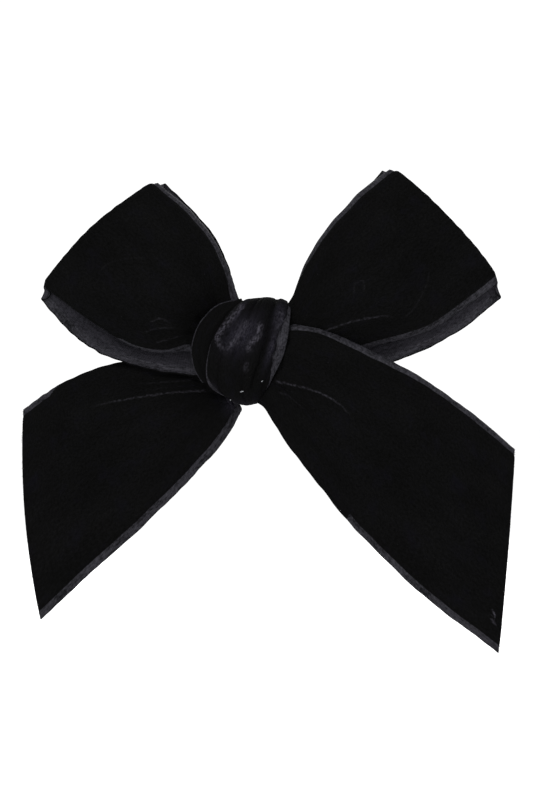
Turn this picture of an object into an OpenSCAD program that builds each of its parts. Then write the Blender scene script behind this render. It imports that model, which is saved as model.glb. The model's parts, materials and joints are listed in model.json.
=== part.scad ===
/* [Ribbon] */
// Width of the velvet ribbon, selvedge to selvedge
ribbon_w = 38; // [34:1:40]
// Thickness of the ribbon, pile included
ribbon_t = 1.0; // [0.8:0.1:1.2]

/* [Knot] */
// Height of the knot
knot_h = 24.8; // [24:0.2:25]
// Depth of the knot, from the clip side to its front
knot_d = 16.2; // [15.8:0.1:16.6]
// Thickness of the outer turn of the knot
wrap_t = 1.2; // [1:0.1:1.3]
// Diameter of the thread that binds the gathers
thread_dia = 0.6; // [0.4:0.1:0.6]
// Diameter of the clear nylon stitches
stitch_dia = 0.4; // [0.3:0.05:0.5]

/* [Clip] */
// Distance from the grip centre to the tip of the clip
clip_tip = 17; // [15:1:18]
// Distance from the grip centre to the end of the finger tabs
clip_tab = 30; // [29:1:32]
// Width of the clip
clip_w = 9; // [9:0.5:10]
// Thickness of the clip's sheet steel
steel_t = 0.8; // [0.6:0.1:0.8]
// Thickness of the grosgrain lining
liner_t = 0.5; // [0.3:0.1:0.5]
// Thickness of the glued pad between clip and bow
pad_t = 1.0; // [0.6:0.1:1.4]
// Radius of the hinge pin
pin_r = 0.9; // [0.8:0.05:1]
// Running clearance around the hinge pin
pin_gap = 0.05; // [0.03:0.01:0.08]
// Radius of the spring wire
wire_r = 0.4; // [0.3:0.05:0.4]
// Turns in the spring's coil
spring_turns = 3.5; // [2.5:1:3.5]

/* [Hidden] */
$fn = 48;

velvet = [0.07, 0.07, 0.08];
satin = [0.20, 0.19, 0.23];
steel = [0.62, 0.63, 0.66];

// The bow is drawn for a 38 mm ribbon and grows or shrinks with it.
bow_k = ribbon_w / 38;
// The hair side of the front jaw's lining is the plane y = 0.
jaw_in = -liner_t;
jaw_out = jaw_in - steel_t;
liner_out = jaw_out - liner_t;
// Plane that the back of the knot lies on
bow_back = liner_out - pad_t;

// Each run of ribbon is a row of stations across it. A station is its upper edge point, its lower
// edge point, how far its middle stands forward, and how far its middle stands away from the knot.
// A point is [x to the right, depth in front of the bow's back plane, z up].
left_front = [
    [[-1.8, 8.4, 14.0], [-13.6, 7.6, 1.8], 0.5, 3.2],
    [[-4.6, 9.8, 19.8], [-19.2, 7.6, 0.6], 3.5, 1.6],
    [[-8.0, 9.8, 26.4], [-27.8, 7.8, 2.8], 5.5, 0.8],
    [[-13.4, 8.6, 32.6], [-36.8, 7.4, 8.4], 5.5, 1.0],
    [[-19.5, 7.2, 38.2], [-45.3, 6.6, 14.6], 3.5, 2.2]
];
left_back = [
    [[-1.8, 5.2, 14.6], [-12.2, 4.9, -5.4], 0, 3.2],
    [[-3.9, 3.6, 21.0], [-22.6, 4.8, -3.5], -0.5, 0.8],
    [[-7.4, 2.9, 27.8], [-32.6, 4.6, 0.8], -1.0, 0],
    [[-13.0, 3.6, 34.0], [-39.6, 4.4, 5.4], 0.8, 0.8],
    [[-17.6, 4.6, 38.0], [-45.9, 4.4, 12.2], 3.3, 2.6]
];
right_front = [
    [[11.6, 10.0, 12.9], [11.5, 8.4, -1.6], 1.0, 0],
    [[15.0, 10.4, 19.6], [19.4, 7.0, -0.3], 3.5, 0.3],
    [[19.8, 9.8, 27.0], [29.2, 6.8, 2.4], 5.5, 0.3],
    [[26.2, 8.6, 33.6], [42.6, 6.8, 6.4], 5.5, 1.0],
    [[33.7, 7.2, 41.2], [57.9, 6.6, 15.8], 3.5, 2.2]
];
right_back = [
    [[11.8, 5.2, 12.4], [11.6, 5.0, -6.5], 0, 0],
    [[14.0, 4.2, 20.0], [23.4, 4.9, -4.6], -0.5, 0],
    [[18.2, 3.4, 27.4], [36.2, 4.6, -1.2], -1.0, 0],
    [[24.3, 3.6, 34.2], [48.6, 4.4, 4.8], 0.8, 0.8],
    [[31.9, 4.6, 41.0], [58.5, 4.4, 12.6], 3.3, 2.6]
];
left_run = [
    [[-12.2, 2.6, -3.2], [-0.6, 3.0, -13.4], 0.3, 1.6],
    [[-20.5, 2.4, -1.9], [-4.2, 3.0, -19.8], 1.0, 0],
    [[-30.5, 2.2, -2.9], [-11.6, 2.8, -28.9], 1.0, 0],
    [[-40.3, 1.8, -6.8], [-23.2, 2.4, -40.5], 0.5, 0.5],
    [[-45.8, 1.4, -10.3], [-34.6, 2.0, -50.7], 0.3, 1.0],
    [[-50.3, 1.0, -13.4], [-46.6, 1.4, -61.5], 0.3, 1.6]
];
right_run = [
    [[11.7, 12.4, 6.4], [5.4, 12.4, -13.7], 0.8, 0.9],
    [[18.2, 12.6, 4.9], [10.6, 12.2, -21.3], 1.2, 0],
    [[27.2, 12.0, 1.0], [18.2, 11.4, -30.8], 1.5, 0],
    [[40.6, 10.2, -5.3], [26.6, 9.6, -41.5], 1.5, 0],
    [[51.2, 8.0, -12.5], [41.0, 7.4, -55.8], 1.0, 0.3],
    [[62.0, 5.6, -22.0], [58.6, 5.0, -69.0], 0.5, 0.7]
];
// The under turn shows as a crescent on the knot's left side.
under_run = [
    [[-2.9, 9.4, 11.7], [-2.2, 9.8, 10.2], 0, 0],
    [[-6.7, 9.8, 10.3], [-3.6, 10.6, 7.6], 0.6, 0],
    [[-10.4, 9.9, 6.2], [-5.2, 12.1, 4.0], 0.8, 0],
    [[-12.0, 9.8, 0.5], [-6.2, 12.5, -0.5], 0.9, 0],
    [[-11.2, 9.6, -4.1], [-6.6, 11.9, -4.5], 0.8, 0],
    [[-9.4, 9.4, -7.0], [-7.2, 10.4, -6.6], 0.4, 0]
];
under_t = 0.9;

run_steps = 16;
across_steps = 10;
fold_steps = 6;
// How far the rounded fold at the end of a loop stands out past its layers
fold_out = 1.2;
toward_left = -1;
toward_right = 1;

// The outer turn of the knot, as its left and right edge at every eighth of the way round,
// from the front over the top.
wrap_edges = [
    [-7.9, 9.4], [-4.1, 10.6], [-1.0, 10.7], [-5, 10],
    [-7, 8], [-6, 6], [-2.6, 4.4], [-8.0, 6.0]
];
wrap_steps = 56;
wrap_front_r = knot_d / 2;
// The back of the knot is a little rounder than its front.
wrap_back_r = wrap_front_r + 0.9;
wrap_mid_d = knot_d / 2;
wrap_mid_z = 0.2;
// How far the edges of the outer turn lie below its middle
wrap_edge_drop = 1.2;

// The gathered ribbon inside the knot
core_from = -4.8;
core_to = 8;
core_rd = 5.5;
core_rz = 9;
core_pleats = 9;
core_pleat_depth = 0.04;
// Girth at the ends as a share of the full girth, and how much the thread pinches it
core_end_share = 0.62;
thread_pinch = 0.07;
thread_pinch_reach = 1.8;
core_steps = 12;
core_sides = 72;
thread_x = 2;
thread_turns = 3;
thread_pitch = 0.9;
thread_sides = 32;
thread_clear = 0.85;

// The stitches show low on the front of the knot: angle round it, place across it, half length
stitches = [[-35.5, 0.84, 0.7], [-49.5, 0.54, 1.1], [-65.5, 0.24, 0.8]];
// How deep the ends of a stitch go down, the share of its half length that shows, how far round the
// knot its ends lie apart, and how far its wire stands proud
stitch_bite = 0.5;
stitch_shown = 0.8;
stitch_turn = 2;
stitch_sunk = 0.4 * stitch_dia;
stitch_steps = 8;
wire_sides = 8;

pad_size = [14, 7];
pad_corner = 1.5;
pad_x = 1;

// The hinge pin's axis
hinge_x = 17;
hinge_y = 3.2;
ear_t = 0.7;
ear_gap = 0.1;
front_ear_in = clip_w / 2 - ear_t;
rear_ear_in = front_ear_in - ear_gap - ear_t;
front_ear_r = 2.2;
rear_ear_r = 2.0;
rear_ear_w = 3;
// Half length of a front ear's foot and how high the foot stands off the jaw
ear_foot = 4;
ear_foot_h = 0.6;
head_r = 1.5;
head_h = 0.5;
head_gap = 0.05;
tip_r = 3.5;
// Length over which a jaw widens behind its round tip
tip_taper = 8;
tab_corner = 2;
liner_inner_end = 11;
liner_outer_end = clip_tab - 1;
// Side view of the rear jaw's plate, through its middle
jaw_flat = [6, 16];
jaw_flat_y = 6.6;
rear_curve = [[-clip_tip, 0.95], [-14, 2.3], [-8, 4.3], [0, 5.9], [jaw_flat[0], jaw_flat_y]];
rear_tab = [[jaw_flat[1], jaw_flat_y], [20, 7.1], [25, 8.9], [clip_tab, 11]];
tooth_from = 2.4 - clip_tip;
tooth_pitch = 1.6;
tooth_count = 8;
tooth_floor = 0.15;
tooth_h = 0.7;
// How much narrower the rear jaw is on each side, and where its toothed flanges stand
rear_inset = 0.2;
flange_in = tip_r - 1;
flange_steps = 6;
front_bend_steps = 10;
tab_bend_steps = 8;
// Radius of the spring's coil, half its length, and its legs in side view from end to coil
coil_r = 1.9;
coil_half = 2.1;
coil_sides = 20;
front_leg_line = [[26.5, -0.05], [22, 0.5]];
rear_leg_line = [[21.5, 6.0], [25.5, 7.6], [27, 8.6]];

function unit(v) = v / max(norm(v), 1e-9);
function held(i, n) = min(max(i, 0), n - 1);
function spline(a, b, c, d, t) =
    a * (-t + 2 * t * t - t * t * t) / 2
    + b * (2 - 5 * t * t + 3 * t * t * t) / 2
    + c * (t + 4 * t * t - 3 * t * t * t) / 2
    + d * (t * t * t - t * t) / 2;

// Point a fraction u of the way along a list of points, on a smooth curve through them
function along(list, u) =
    let (
        n = len(list),
        s = u * (n - 1),
        i = held(floor(s), n - 1)
    )
    spline(list[held(i - 1, n)], list[i], list[held(i + 1, n)], list[held(i + 2, n)], s - i);

// The same on a closed round of values
function round_along(list, u) =
    let (
        n = len(list),
        s = u * n,
        i = floor(s)
    )
    spline(list[(i + n - 1) % n], list[i % n], list[(i + 1) % n], list[(i + 2) % n], s - i);

function column(list, i) = [for (row = list) row[i]];

// From bow coordinates to the frame of the part
function place(p) = [bow_k * p[0], bow_back - bow_k * p[1], bow_k * p[2]];

// One line of points across a ribbon, a fraction u along its run
function across(run, u, side) =
    let (
        top = along(column(run, 0), u),
        low = along(column(run, 1), u),
        forward = along(column(run, 2), u),
        outward = along(column(run, 3), u),
        chord = low - top,
        away = side * unit([-chord[2], 0, chord[0]])
    )
    [for (j = [0:across_steps])
        let (
            v = j / across_steps,
            arch = 4 * v * (1 - v)
        )
        place(top + chord * v + arch * (forward * [0, 1, 0] + outward * away))];

function run_grid(run, side) = [for (i = [0:run_steps]) across(run, i / run_steps, side)];

// The round fold that joins the front layer of a loop to its back layer
function fold_grid(front, back, side) =
    let (chord = front[across_steps] - front[0])
    [for (i = [1:fold_steps - 1])
        let (turn = 180 * i / fold_steps)
        [for (j = [0:across_steps])
            let (
                middle = (front[j] + back[j]) / 2,
                away = side * unit([-chord[2], 0, chord[0]])
            )
            middle + (front[j] - middle) * cos(turn) + away * fold_out * sin(turn)]];

function loop_grid(front, back, side) =
    let (
        front_rows = run_grid(front, side),
        back_rows = run_grid(back, side)
    )
    concat(
        front_rows,
        fold_grid(front_rows[run_steps], back_rows[run_steps], side),
        [for (i = [run_steps:-1:0]) back_rows[i]]
    );

function grid_normal(grid, i, j) =
    let (
        rows = len(grid),
        cols = len(grid[0]),
        down = grid[held(i + 1, rows)][j] - grid[held(i - 1, rows)][j],
        side = grid[i][held(j + 1, cols)] - grid[i][held(j - 1, cols)]
    )
    unit(cross(down, side));

function two(a, b, c, d) = [[a, b, c], [a, c, d]];

// A closed sheet of the given thickness on a grid of points
module sheet(grid, thick) {
    rows = len(grid);
    cols = len(grid[0]);
    n = rows * cols;
    upper = [for (i = [0:rows - 1]) for (j = [0:cols - 1])
        grid[i][j] + grid_normal(grid, i, j) * thick / 2];
    lower = [for (i = [0:rows - 1]) for (j = [0:cols - 1])
        grid[i][j] - grid_normal(grid, i, j) * thick / 2];
    skins = [for (i = [0:rows - 2]) for (j = [0:cols - 2])
        let (
            a = i * cols + j,
            b = a + 1,
            c = a + cols + 1,
            d = a + cols
        )
        each concat(two(a, b, c, d), two(n + d, n + c, n + b, n + a))];
    long_rims = [for (i = [0:rows - 2])
        let (
            a = i * cols,
            d = a + cols,
            b = a + cols - 1,
            c = b + cols
        )
        each concat(two(a, d, n + d, n + a), two(c, b, n + b, n + c))];
    end_rims = [for (j = [0:cols - 2])
        let (e = (rows - 1) * cols + j)
        each concat(two(j + 1, j, n + j, n + j + 1), two(e, e + 1, n + e + 1, n + e))];
    polyhedron(concat(upper, lower), concat(skins, long_rims, end_rims));
}

// A round wire along a path; the path never runs along the given reference direction
module wire(path, r, sides, reference) {
    n = len(path);
    rings = [for (i = [0:n - 1])
        let (
            ahead = unit(path[held(i + 1, n)] - path[held(i - 1, n)]),
            across_wire = unit(cross(ahead, reference)),
            up_wire = cross(ahead, across_wire)
        )
        for (s = [0:sides - 1])
            path[i] + r * (cos(360 * s / sides) * across_wire + sin(360 * s / sides) * up_wire)];
    skin = [for (i = [0:n - 2]) for (s = [0:sides - 1])
        let (t = (s + 1) % sides)
        each two(i * sides + s, (i + 1) * sides + s, (i + 1) * sides + t, i * sides + t)];
    caps = [
        [for (s = [0:sides - 1]) s],
        [for (s = [sides - 1:-1:0]) (n - 1) * sides + s]
    ];
    polyhedron(rings, concat(skin, caps));
}

// A point on the outer turn of the knot: turn round it, fraction across it, depth below its face
function wrap_point(turn, v, below) =
    let (
        u = ((turn + 360) % 360) / 360,
        left = round_along(column(wrap_edges, 0), u),
        right = round_along(column(wrap_edges, 1), u),
        sunk = below + wrap_edge_drop * pow(2 * v - 1, 2),
        r = cos(turn) > 0 ? wrap_front_r : wrap_back_r,
        depth = wrap_mid_d + (r - sunk) * cos(turn)
    )
    place([
        left + (right - left) * v,
        max(depth, below),
        wrap_mid_z + (knot_h / 2 - sunk) * sin(turn)
    ]);

// All points of one face of the outer turn, at one depth below its outer face
function wrap_face(below) = [for (i = [0:wrap_steps - 1]) for (j = [0:across_steps])
    wrap_point(360 * i / wrap_steps, j / across_steps, below)];

module knot_wrap() {
    cols = across_steps + 1;
    n = wrap_steps * cols;
    skins = [for (i = [0:wrap_steps - 1]) for (j = [0:cols - 2])
        let (
            a = i * cols + j,
            b = a + 1,
            d = ((i + 1) % wrap_steps) * cols + j,
            c = d + 1
        )
        each concat(two(a, d, c, b), two(n + a, n + b, n + c, n + d))];
    rims = [for (i = [0:wrap_steps - 1])
        let (
            a = i * cols,
            d = ((i + 1) % wrap_steps) * cols,
            b = a + cols - 1,
            c = d + cols - 1
        )
        each concat(two(a, n + a, n + d, d), two(c, n + c, n + b, b))];
    color(velvet) polyhedron(concat(wrap_face(0), wrap_face(wrap_t)), concat(skins, rims));
}

module knot_underturn() {
    color(velvet) sheet(run_grid(under_run, toward_left), under_t);
}

// Swell of the gathered ribbon along its length, pinched where the thread goes round
function core_swell(x) =
    let (t = (x - core_from) / (core_to - core_from))
    core_end_share + (1 - core_end_share) * sin(180 * t)
    - thread_pinch * exp(-pow((x - thread_x) / thread_pinch_reach, 2));

module ribbon_core() {
    rings = [for (i = [0:core_steps])
        let (
            x = core_from + (core_to - core_from) * i / core_steps,
            swell = core_swell(x)
        )
        for (s = [0:core_sides - 1])
            let (
                a = 360 * s / core_sides,
                pleat = 1 + core_pleat_depth * cos(core_pleats * a)
            )
            place([
                x,
                wrap_mid_d + core_rd * swell * pleat * cos(a),
                wrap_mid_z + core_rz * swell * pleat * sin(a)
            ])];
    skin = [for (i = [0:core_steps - 1]) for (s = [0:core_sides - 1])
        let (
            t = (s + 1) % core_sides,
            a = i * core_sides,
            b = a + core_sides
        )
        each two(a + s, a + t, b + t, b + s)];
    caps = [
        [for (s = [core_sides - 1:-1:0]) s],
        [for (s = [0:core_sides - 1]) core_steps * core_sides + s]
    ];
    color(satin) polyhedron(rings, concat(skin, caps));
}

module binding_thread() {
    steps = thread_turns * thread_sides;
    swell = core_swell(thread_x);
    path = [for (i = [0:steps])
        let (a = 360 * i / thread_sides)
        place([
            thread_x + thread_pitch * (i / thread_sides - thread_turns / 2),
            wrap_mid_d + (core_rd * swell + thread_clear) * cos(a),
            wrap_mid_z + (core_rz * swell + thread_clear) * sin(a)
        ])];
    color("black") wire(path, thread_dia / 2, wire_sides, [1, 0, 0]);
}

// One stitch lies across the face of the outer turn, with both ends going down through it.
module stitch(turn, v, half) {
    path = [for (i = [0:stitch_steps])
        let (
            t = 2 * i / stitch_steps - 1,
            sink = abs(t) > stitch_shown ? stitch_bite : 0
        )
        wrap_point(turn + stitch_turn * t, v, sink - stitch_sunk) + [t * half, 0, 0]];
    wire(path, stitch_dia / 2, wire_sides, [0, 0, 1]);
}

module knot_stitches() {
    color("white") for (s = stitches) stitch(s[0], s[1], s[2]);
}

module left_loop() {
    color(velvet) sheet(loop_grid(left_front, left_back, toward_left), ribbon_t);
}

module right_loop() {
    color(velvet) sheet(loop_grid(right_front, right_back, toward_right), ribbon_t);
}

module left_tail() {
    color(velvet) sheet(run_grid(left_run, toward_left), ribbon_t);
}

module right_tail() {
    color(velvet) sheet(run_grid(right_run, toward_right), ribbon_t);
}

// Stands a flat outline, drawn as x and z, between the planes y = low and y = high.
module upright(low, high) {
    translate([0, high, 0]) rotate([90, 0, 0]) linear_extrude(high - low) children();
}

module adhesive_pad() {
    color("dimgray") upright(bow_back, liner_out) {
        translate([pad_x, 0]) {
            square([pad_size[0], pad_size[1] - 2 * pad_corner], center = true);
            square([pad_size[0] - 2 * pad_corner, pad_size[1]], center = true);
            for (sx = [-1, 1], sz = [-1, 1])
                translate([sx * (pad_size[0] / 2 - pad_corner), sz * (pad_size[1] / 2 - pad_corner)])
                    circle(pad_corner);
        }
    }
}

// Plan of a jaw: a round tip that widens to the full width, and a tab with round corners
module jaw_plan(tip_x, end_x, half) {
    tip_mid = tip_x + tip_r;
    full_from = tip_mid + tip_taper;
    corner_x = end_x - tab_corner;
    translate([tip_mid, 0]) circle(tip_r);
    polygon([
        [tip_mid, -tip_r], [full_from, -half], [corner_x, -half], [corner_x, half],
        [full_from, half], [tip_mid, tip_r]
    ]);
    translate([corner_x - 0.5, tab_corner - half]) square([tab_corner + 0.5, 2 * (half - tab_corner)]);
    for (s = [-1, 1]) translate([corner_x, s * (half - tab_corner)]) circle(tab_corner);
}

module pin_hole() {
    translate([hinge_x, hinge_y, -clip_w]) cylinder(h = 2 * clip_w, r = pin_r + pin_gap);
}

// A pair of ears, drawn in side view by the child, each ear_t thick
module ear_pair(inner) {
    for (z = [inner, -inner - ear_t]) translate([0, 0, z]) linear_extrude(ear_t) children();
}

module clip_front_jaw() {
    color(steel) difference() {
        union() {
            upright(jaw_out, jaw_in) jaw_plan(-clip_tip, clip_tab, clip_w / 2);
            ear_pair(front_ear_in) {
                translate([hinge_x, hinge_y]) circle(front_ear_r);
                polygon([
                    [hinge_x - ear_foot, jaw_out + steel_t / 2],
                    [hinge_x + ear_foot, jaw_out + steel_t / 2],
                    [hinge_x + ear_foot, jaw_in + ear_foot_h],
                    [hinge_x + front_ear_r, hinge_y],
                    [hinge_x - front_ear_r, hinge_y],
                    [hinge_x - ear_foot, jaw_in + ear_foot_h]
                ]);
            }
        }
        pin_hole();
    }
}

module clip_liner() {
    half = clip_w / 2;
    color(velvet) {
        upright(jaw_in, 0) intersection() {
            jaw_plan(-clip_tip - liner_t, clip_tab, half);
            translate([-2 * clip_tip, -half]) square([2 * clip_tip + liner_inner_end, clip_w]);
        }
        upright(liner_out, jaw_out) jaw_plan(-clip_tip - liner_t, liner_outer_end, half);
        upright(liner_out, 0) difference() {
            intersection() {
                jaw_plan(-clip_tip - liner_t, clip_tab, half);
                translate([-2 * clip_tip, -half]) square([clip_tip + tip_r / 2, clip_w]);
            }
            jaw_plan(-clip_tip, clip_tab, half);
        }
    }
}

// Side view of a bent plate along a list of points through its middle
module bent_plate(spine, thick) {
    n = len(spine);
    normals = [for (i = [0:n - 1])
        let (d = spine[held(i + 1, n)] - spine[held(i - 1, n)])
        unit([-d[1], d[0]])];
    polygon(concat(
        [for (i = [0:n - 1]) spine[i] + normals[i] * thick / 2],
        [for (i = [n - 1:-1:0]) spine[i] - normals[i] * thick / 2]
    ));
}

function curve(points, steps) = [for (i = [0:steps]) along(points, i / steps)];

module clip_rear_jaw() {
    half = clip_w / 2 - rear_inset;
    front_bend = curve(rear_curve, front_bend_steps);
    spine = concat(front_bend, curve(rear_tab, tab_bend_steps));
    color(steel) difference() {
        union() {
            intersection() {
                translate([0, 0, -clip_w]) linear_extrude(2 * clip_w) bent_plate(spine, steel_t);
                upright(-clip_w, 2 * clip_w) jaw_plan(-clip_tip, clip_tab, half);
            }
            ear_pair(rear_ear_in) {
                translate([hinge_x, hinge_y]) circle(rear_ear_r);
                translate([hinge_x - rear_ear_r, hinge_y])
                    square([rear_ear_w, jaw_flat_y - hinge_y]);
            }
            ear_pair(flange_in) polygon(concat(
                [for (i = [0:flange_steps]) front_bend[i]],
                [for (i = [tooth_count:-1:0]) each [
                    [tooth_from + tooth_pitch * i, tooth_floor + tooth_h],
                    [tooth_from + tooth_pitch * (i - 0.5), tooth_floor]
                ]]
            ));
        }
        pin_hole();
    }
}

module hinge_pin() {
    reach = clip_w / 2 + head_gap;
    color(steel) translate([hinge_x, hinge_y, 0]) {
        cylinder(h = 2 * reach, r = pin_r, center = true);
        for (s = [-1, 1]) translate([0, 0, s * (reach + head_h / 2)])
            cylinder(h = head_h, r = head_r, center = true);
    }
}

module torsion_spring() {
    steps = round(spring_turns * coil_sides);
    coil = [for (i = [0:steps])
        let (a = -90 - 360 * spring_turns * i / steps)
        [hinge_x + coil_r * cos(a), hinge_y + coil_r * sin(a), coil_half * (2 * i / steps - 1)]];
    front_leg = [for (p = front_leg_line) [p[0], p[1], -coil_half]];
    rear_leg = [for (p = rear_leg_line) [p[0], p[1], coil_half]];
    color("silver") wire(concat(front_leg, coil, rear_leg), wire_r, wire_sides, [0, 0, 1]);
}

left_loop();
right_loop();
left_tail();
right_tail();
knot_wrap();
knot_underturn();
ribbon_core();
binding_thread();
knot_stitches();
adhesive_pad();
clip_front_jaw();
clip_liner();
clip_rear_jaw();
hinge_pin();
torsion_spring();
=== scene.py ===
"""A black velvet ribbon hair bow with a wrapped knot, glued to a lined alligator clip."""

import json
import math

import bmesh
import bpy
import numpy as np
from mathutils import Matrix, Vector


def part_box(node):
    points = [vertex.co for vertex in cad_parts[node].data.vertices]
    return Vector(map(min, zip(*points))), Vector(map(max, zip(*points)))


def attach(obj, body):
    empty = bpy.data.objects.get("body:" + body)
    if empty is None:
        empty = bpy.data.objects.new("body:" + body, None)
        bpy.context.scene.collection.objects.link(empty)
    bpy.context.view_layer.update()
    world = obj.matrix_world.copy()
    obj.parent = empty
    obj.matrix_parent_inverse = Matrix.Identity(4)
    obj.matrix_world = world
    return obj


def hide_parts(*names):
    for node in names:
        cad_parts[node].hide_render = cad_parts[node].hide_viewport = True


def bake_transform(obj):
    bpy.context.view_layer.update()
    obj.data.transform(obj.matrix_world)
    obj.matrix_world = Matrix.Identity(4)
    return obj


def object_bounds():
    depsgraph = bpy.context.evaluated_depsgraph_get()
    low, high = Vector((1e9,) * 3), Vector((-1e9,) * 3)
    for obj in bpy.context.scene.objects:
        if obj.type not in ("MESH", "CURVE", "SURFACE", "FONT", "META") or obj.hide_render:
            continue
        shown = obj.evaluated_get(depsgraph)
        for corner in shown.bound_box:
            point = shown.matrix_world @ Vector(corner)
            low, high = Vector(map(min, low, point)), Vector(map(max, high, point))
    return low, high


MM = 0.001

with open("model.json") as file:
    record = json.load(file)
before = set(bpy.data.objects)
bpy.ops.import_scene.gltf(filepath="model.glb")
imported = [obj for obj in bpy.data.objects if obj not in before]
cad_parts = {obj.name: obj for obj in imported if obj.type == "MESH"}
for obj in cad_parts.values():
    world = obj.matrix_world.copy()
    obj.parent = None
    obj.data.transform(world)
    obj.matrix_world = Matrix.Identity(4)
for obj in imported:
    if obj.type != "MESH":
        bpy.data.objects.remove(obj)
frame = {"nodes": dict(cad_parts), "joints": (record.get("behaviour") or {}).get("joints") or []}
cad_low, cad_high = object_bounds()

# The camera looks along +Y at the middle of the bow, from far enough away to flatten it.
VIEW_HEIGHT = 186.3 * MM
LENS_MM = 200.0
SENSOR_MM = 36.0
AIM_SHIFT = Vector((0.3 * MM, 0.0, 1.3 * MM))
CLIP_NEAR, CLIP_FAR = 0.05, 20.0


def new_object(name, data):
    thing = bpy.data.objects.new(name, data)
    bpy.context.scene.collection.objects.link(thing)
    return thing


def aim(thing, at):
    thing.rotation_euler = (Vector(at) - thing.location).to_track_quat("-Z", "Y").to_euler()


scene = bpy.context.scene
middle = (cad_low + cad_high) / 2 + AIM_SHIFT
camera = new_object("camera", bpy.data.cameras.new("camera"))
camera.data.lens, camera.data.sensor_width = LENS_MM, SENSOR_MM
camera.data.clip_start, camera.data.clip_end = CLIP_NEAR, CLIP_FAR
camera.location = middle - Vector((0, VIEW_HEIGHT * LENS_MM / SENSOR_MM, 0))
aim(camera, middle)
scene.camera = camera

# Lines of the design, in millimetres as [x to the right, depth in front of the bow's back, z up].
# A station is an upper edge point, a lower edge point, how far its middle stands forward, and how
# far its middle stands away from the knot. The first station of each run is inside the knot.
BOW_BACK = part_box("adhesive_pad")[0].y / MM
LEFT_FRONT_TUCK = [[-0.8, 7.6, 9], [-6.5, 7.6, -2], 0.5, 1]
LEFT_FRONT = [
    [[-3.3, 8.4, 13.8], [-13.6, 7.6, 1.8], 0.5, 2.6],
    [[-4.6, 9.8, 19.8], [-19.2, 7.6, 0.6], 3.5, 1.6],
    [[-8, 9.8, 26.4], [-27.8, 7.8, 2.8], 5.5, 0.8],
    [[-13.4, 8.6, 32.6], [-36.8, 7.4, 8.4], 5.5, 1],
    [[-19.6, 7.2, 38.7], [-45.6, 6.6, 14.9], 3.5, 1.7],
]
LEFT_BACK_TUCK = [[-0.5, 5.6, 9.2], [-6.5, 5.4, -4.5], 0, 1]
LEFT_BACK = [
    [[-1.9, 5.2, 14.6], [-12.2, 4.9, -5.4], 0, 3.2],
    [[-4, 3.6, 21], [-22.8, 4.8, -3.8], -0.5, 0.8],
    [[-7.4, 2.9, 27.7], [-33.2, 4.6, -0.1], -1, 0],
    [[-13.1, 3.6, 34], [-40, 4.4, 4.9], 0.8, 0.8],
    [[-18, 4.6, 38.5], [-46.3, 4.4, 12.1], 3.3, 2.1],
]
RIGHT_FRONT_TUCK = [[7.6, 8.8, 6.5], [7, 8.2, -1.5], 0.5, 0.5]
RIGHT_FRONT = [
    [[11.6, 10, 12.9], [11.5, 8.4, -1.6], 1, 0],
    [[14.5, 10.4, 19.8], [19.4, 7, -0.3], 3.5, 0.3],
    [[19, 9.8, 27.4], [29.2, 6.8, 2.4], 5.5, 0.3],
    [[25.2, 8.6, 34.3], [42.6, 6.8, 6.4], 5.5, 1],
    [[33.3, 7.2, 41.8], [58.1, 6.6, 16], 3.5, 1.4],
]
RIGHT_BACK_TUCK = [[7.5, 6, 7], [7, 5.8, -4.8], 0, 0.5]
RIGHT_BACK = [
    [[11.8, 5.2, 12.4], [11.6, 5, -6.5], 0, 0],
    [[14.5, 4.2, 19.7], [23.4, 4.9, -4.6], -0.5, 0],
    [[18.8, 3.4, 27], [36.3, 4.6, -1.6], -1, 0],
    [[25, 3.6, 33.8], [48.8, 4.4, 4.5], 0.8, 0.8],
    [[31.8, 4.6, 41.5], [58.8, 4.4, 12.5], 3.3, 1.8],
]
LEFT_TAIL_TUCK = [[-7, 4.4, -0.5], [-6, 3.8, -7.5], 0.3, 0.5]
LEFT_TAIL = [
    [[-12.2, 2.6, -3.2], [-0.6, 3, -13.4], 0.3, 1.6],
    [[-20.5, 2.4, -1.9], [-4.2, 3, -19.8], 1, 0],
    [[-30.5, 2.2, -2.7], [-11.8, 2.8, -28.7], 1, 0],
    [[-40.4, 1.8, -6.4], [-23.4, 2.4, -40.2], 0.5, 0.5],
    [[-46, 1.4, -9.9], [-34.8, 2, -50.4], 0.3, 1],
    [[-50.6, 1, -13.2], [-46.7, 1.4, -61.5], 0.3, 1.6],
]
RIGHT_TAIL_TUCK = [[8, 11, 3.5], [2.6, 8.4, -10.9], 0.5, 0.6]
RIGHT_TAIL = [
    [[11.7, 12.4, 6.4], [5.4, 12.4, -13.7], 0.8, 0.9],
    [[18.2, 12.6, 4.9], [10.4, 12.2, -21.6], 1.2, 0],
    [[27.2, 12, 1], [18, 11.4, -31], 1.5, 0],
    [[40.3, 10.2, -5.6], [26.6, 9.6, -41.5], 1.5, 0],
    [[50.8, 8, -12.9], [41.1, 7.4, -55.6], 1, 0.3],
    [[62, 5.6, -22.3], [58.4, 5, -69], 0.5, 0.25],
]
UNDER_TURN = [
    [[-0.8, 9, 12.2], [0.6, 9.6, 10.4], 0, 0],
    [[-6.2, 9.7, 10.7], [-1.6, 10.8, 6.9], 0.6, 0],
    [[-10.4, 9.9, 6.2], [-2.6, 12.3, 3.4], 1.1, 0],
    [[-12, 9.8, 0.5], [-3.2, 12.7, -0.8], 1.2, 0],
    [[-11.2, 9.6, -4.1], [-3.6, 12, -4], 1.1, 0],
    [[-9.4, 9.4, -7], [-4.6, 10.4, -6], 0.5, 0],
]

RIBBON_W = 38.0
SELVEDGE_W = 2.0
# Half the thickness of the woven ground, and how far the pile stands above it
GROUND_T = 0.17
PILE_H = 0.55
ROW_STEP = 0.45
TO_LEFT, TO_RIGHT = -1, 1


# ---------------------------------------------------------------- curves and meshes
def unit(a):
    a = np.asarray(a, float)
    return a / np.maximum(np.linalg.norm(a, axis=-1, keepdims=True), 1e-9)


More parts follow.
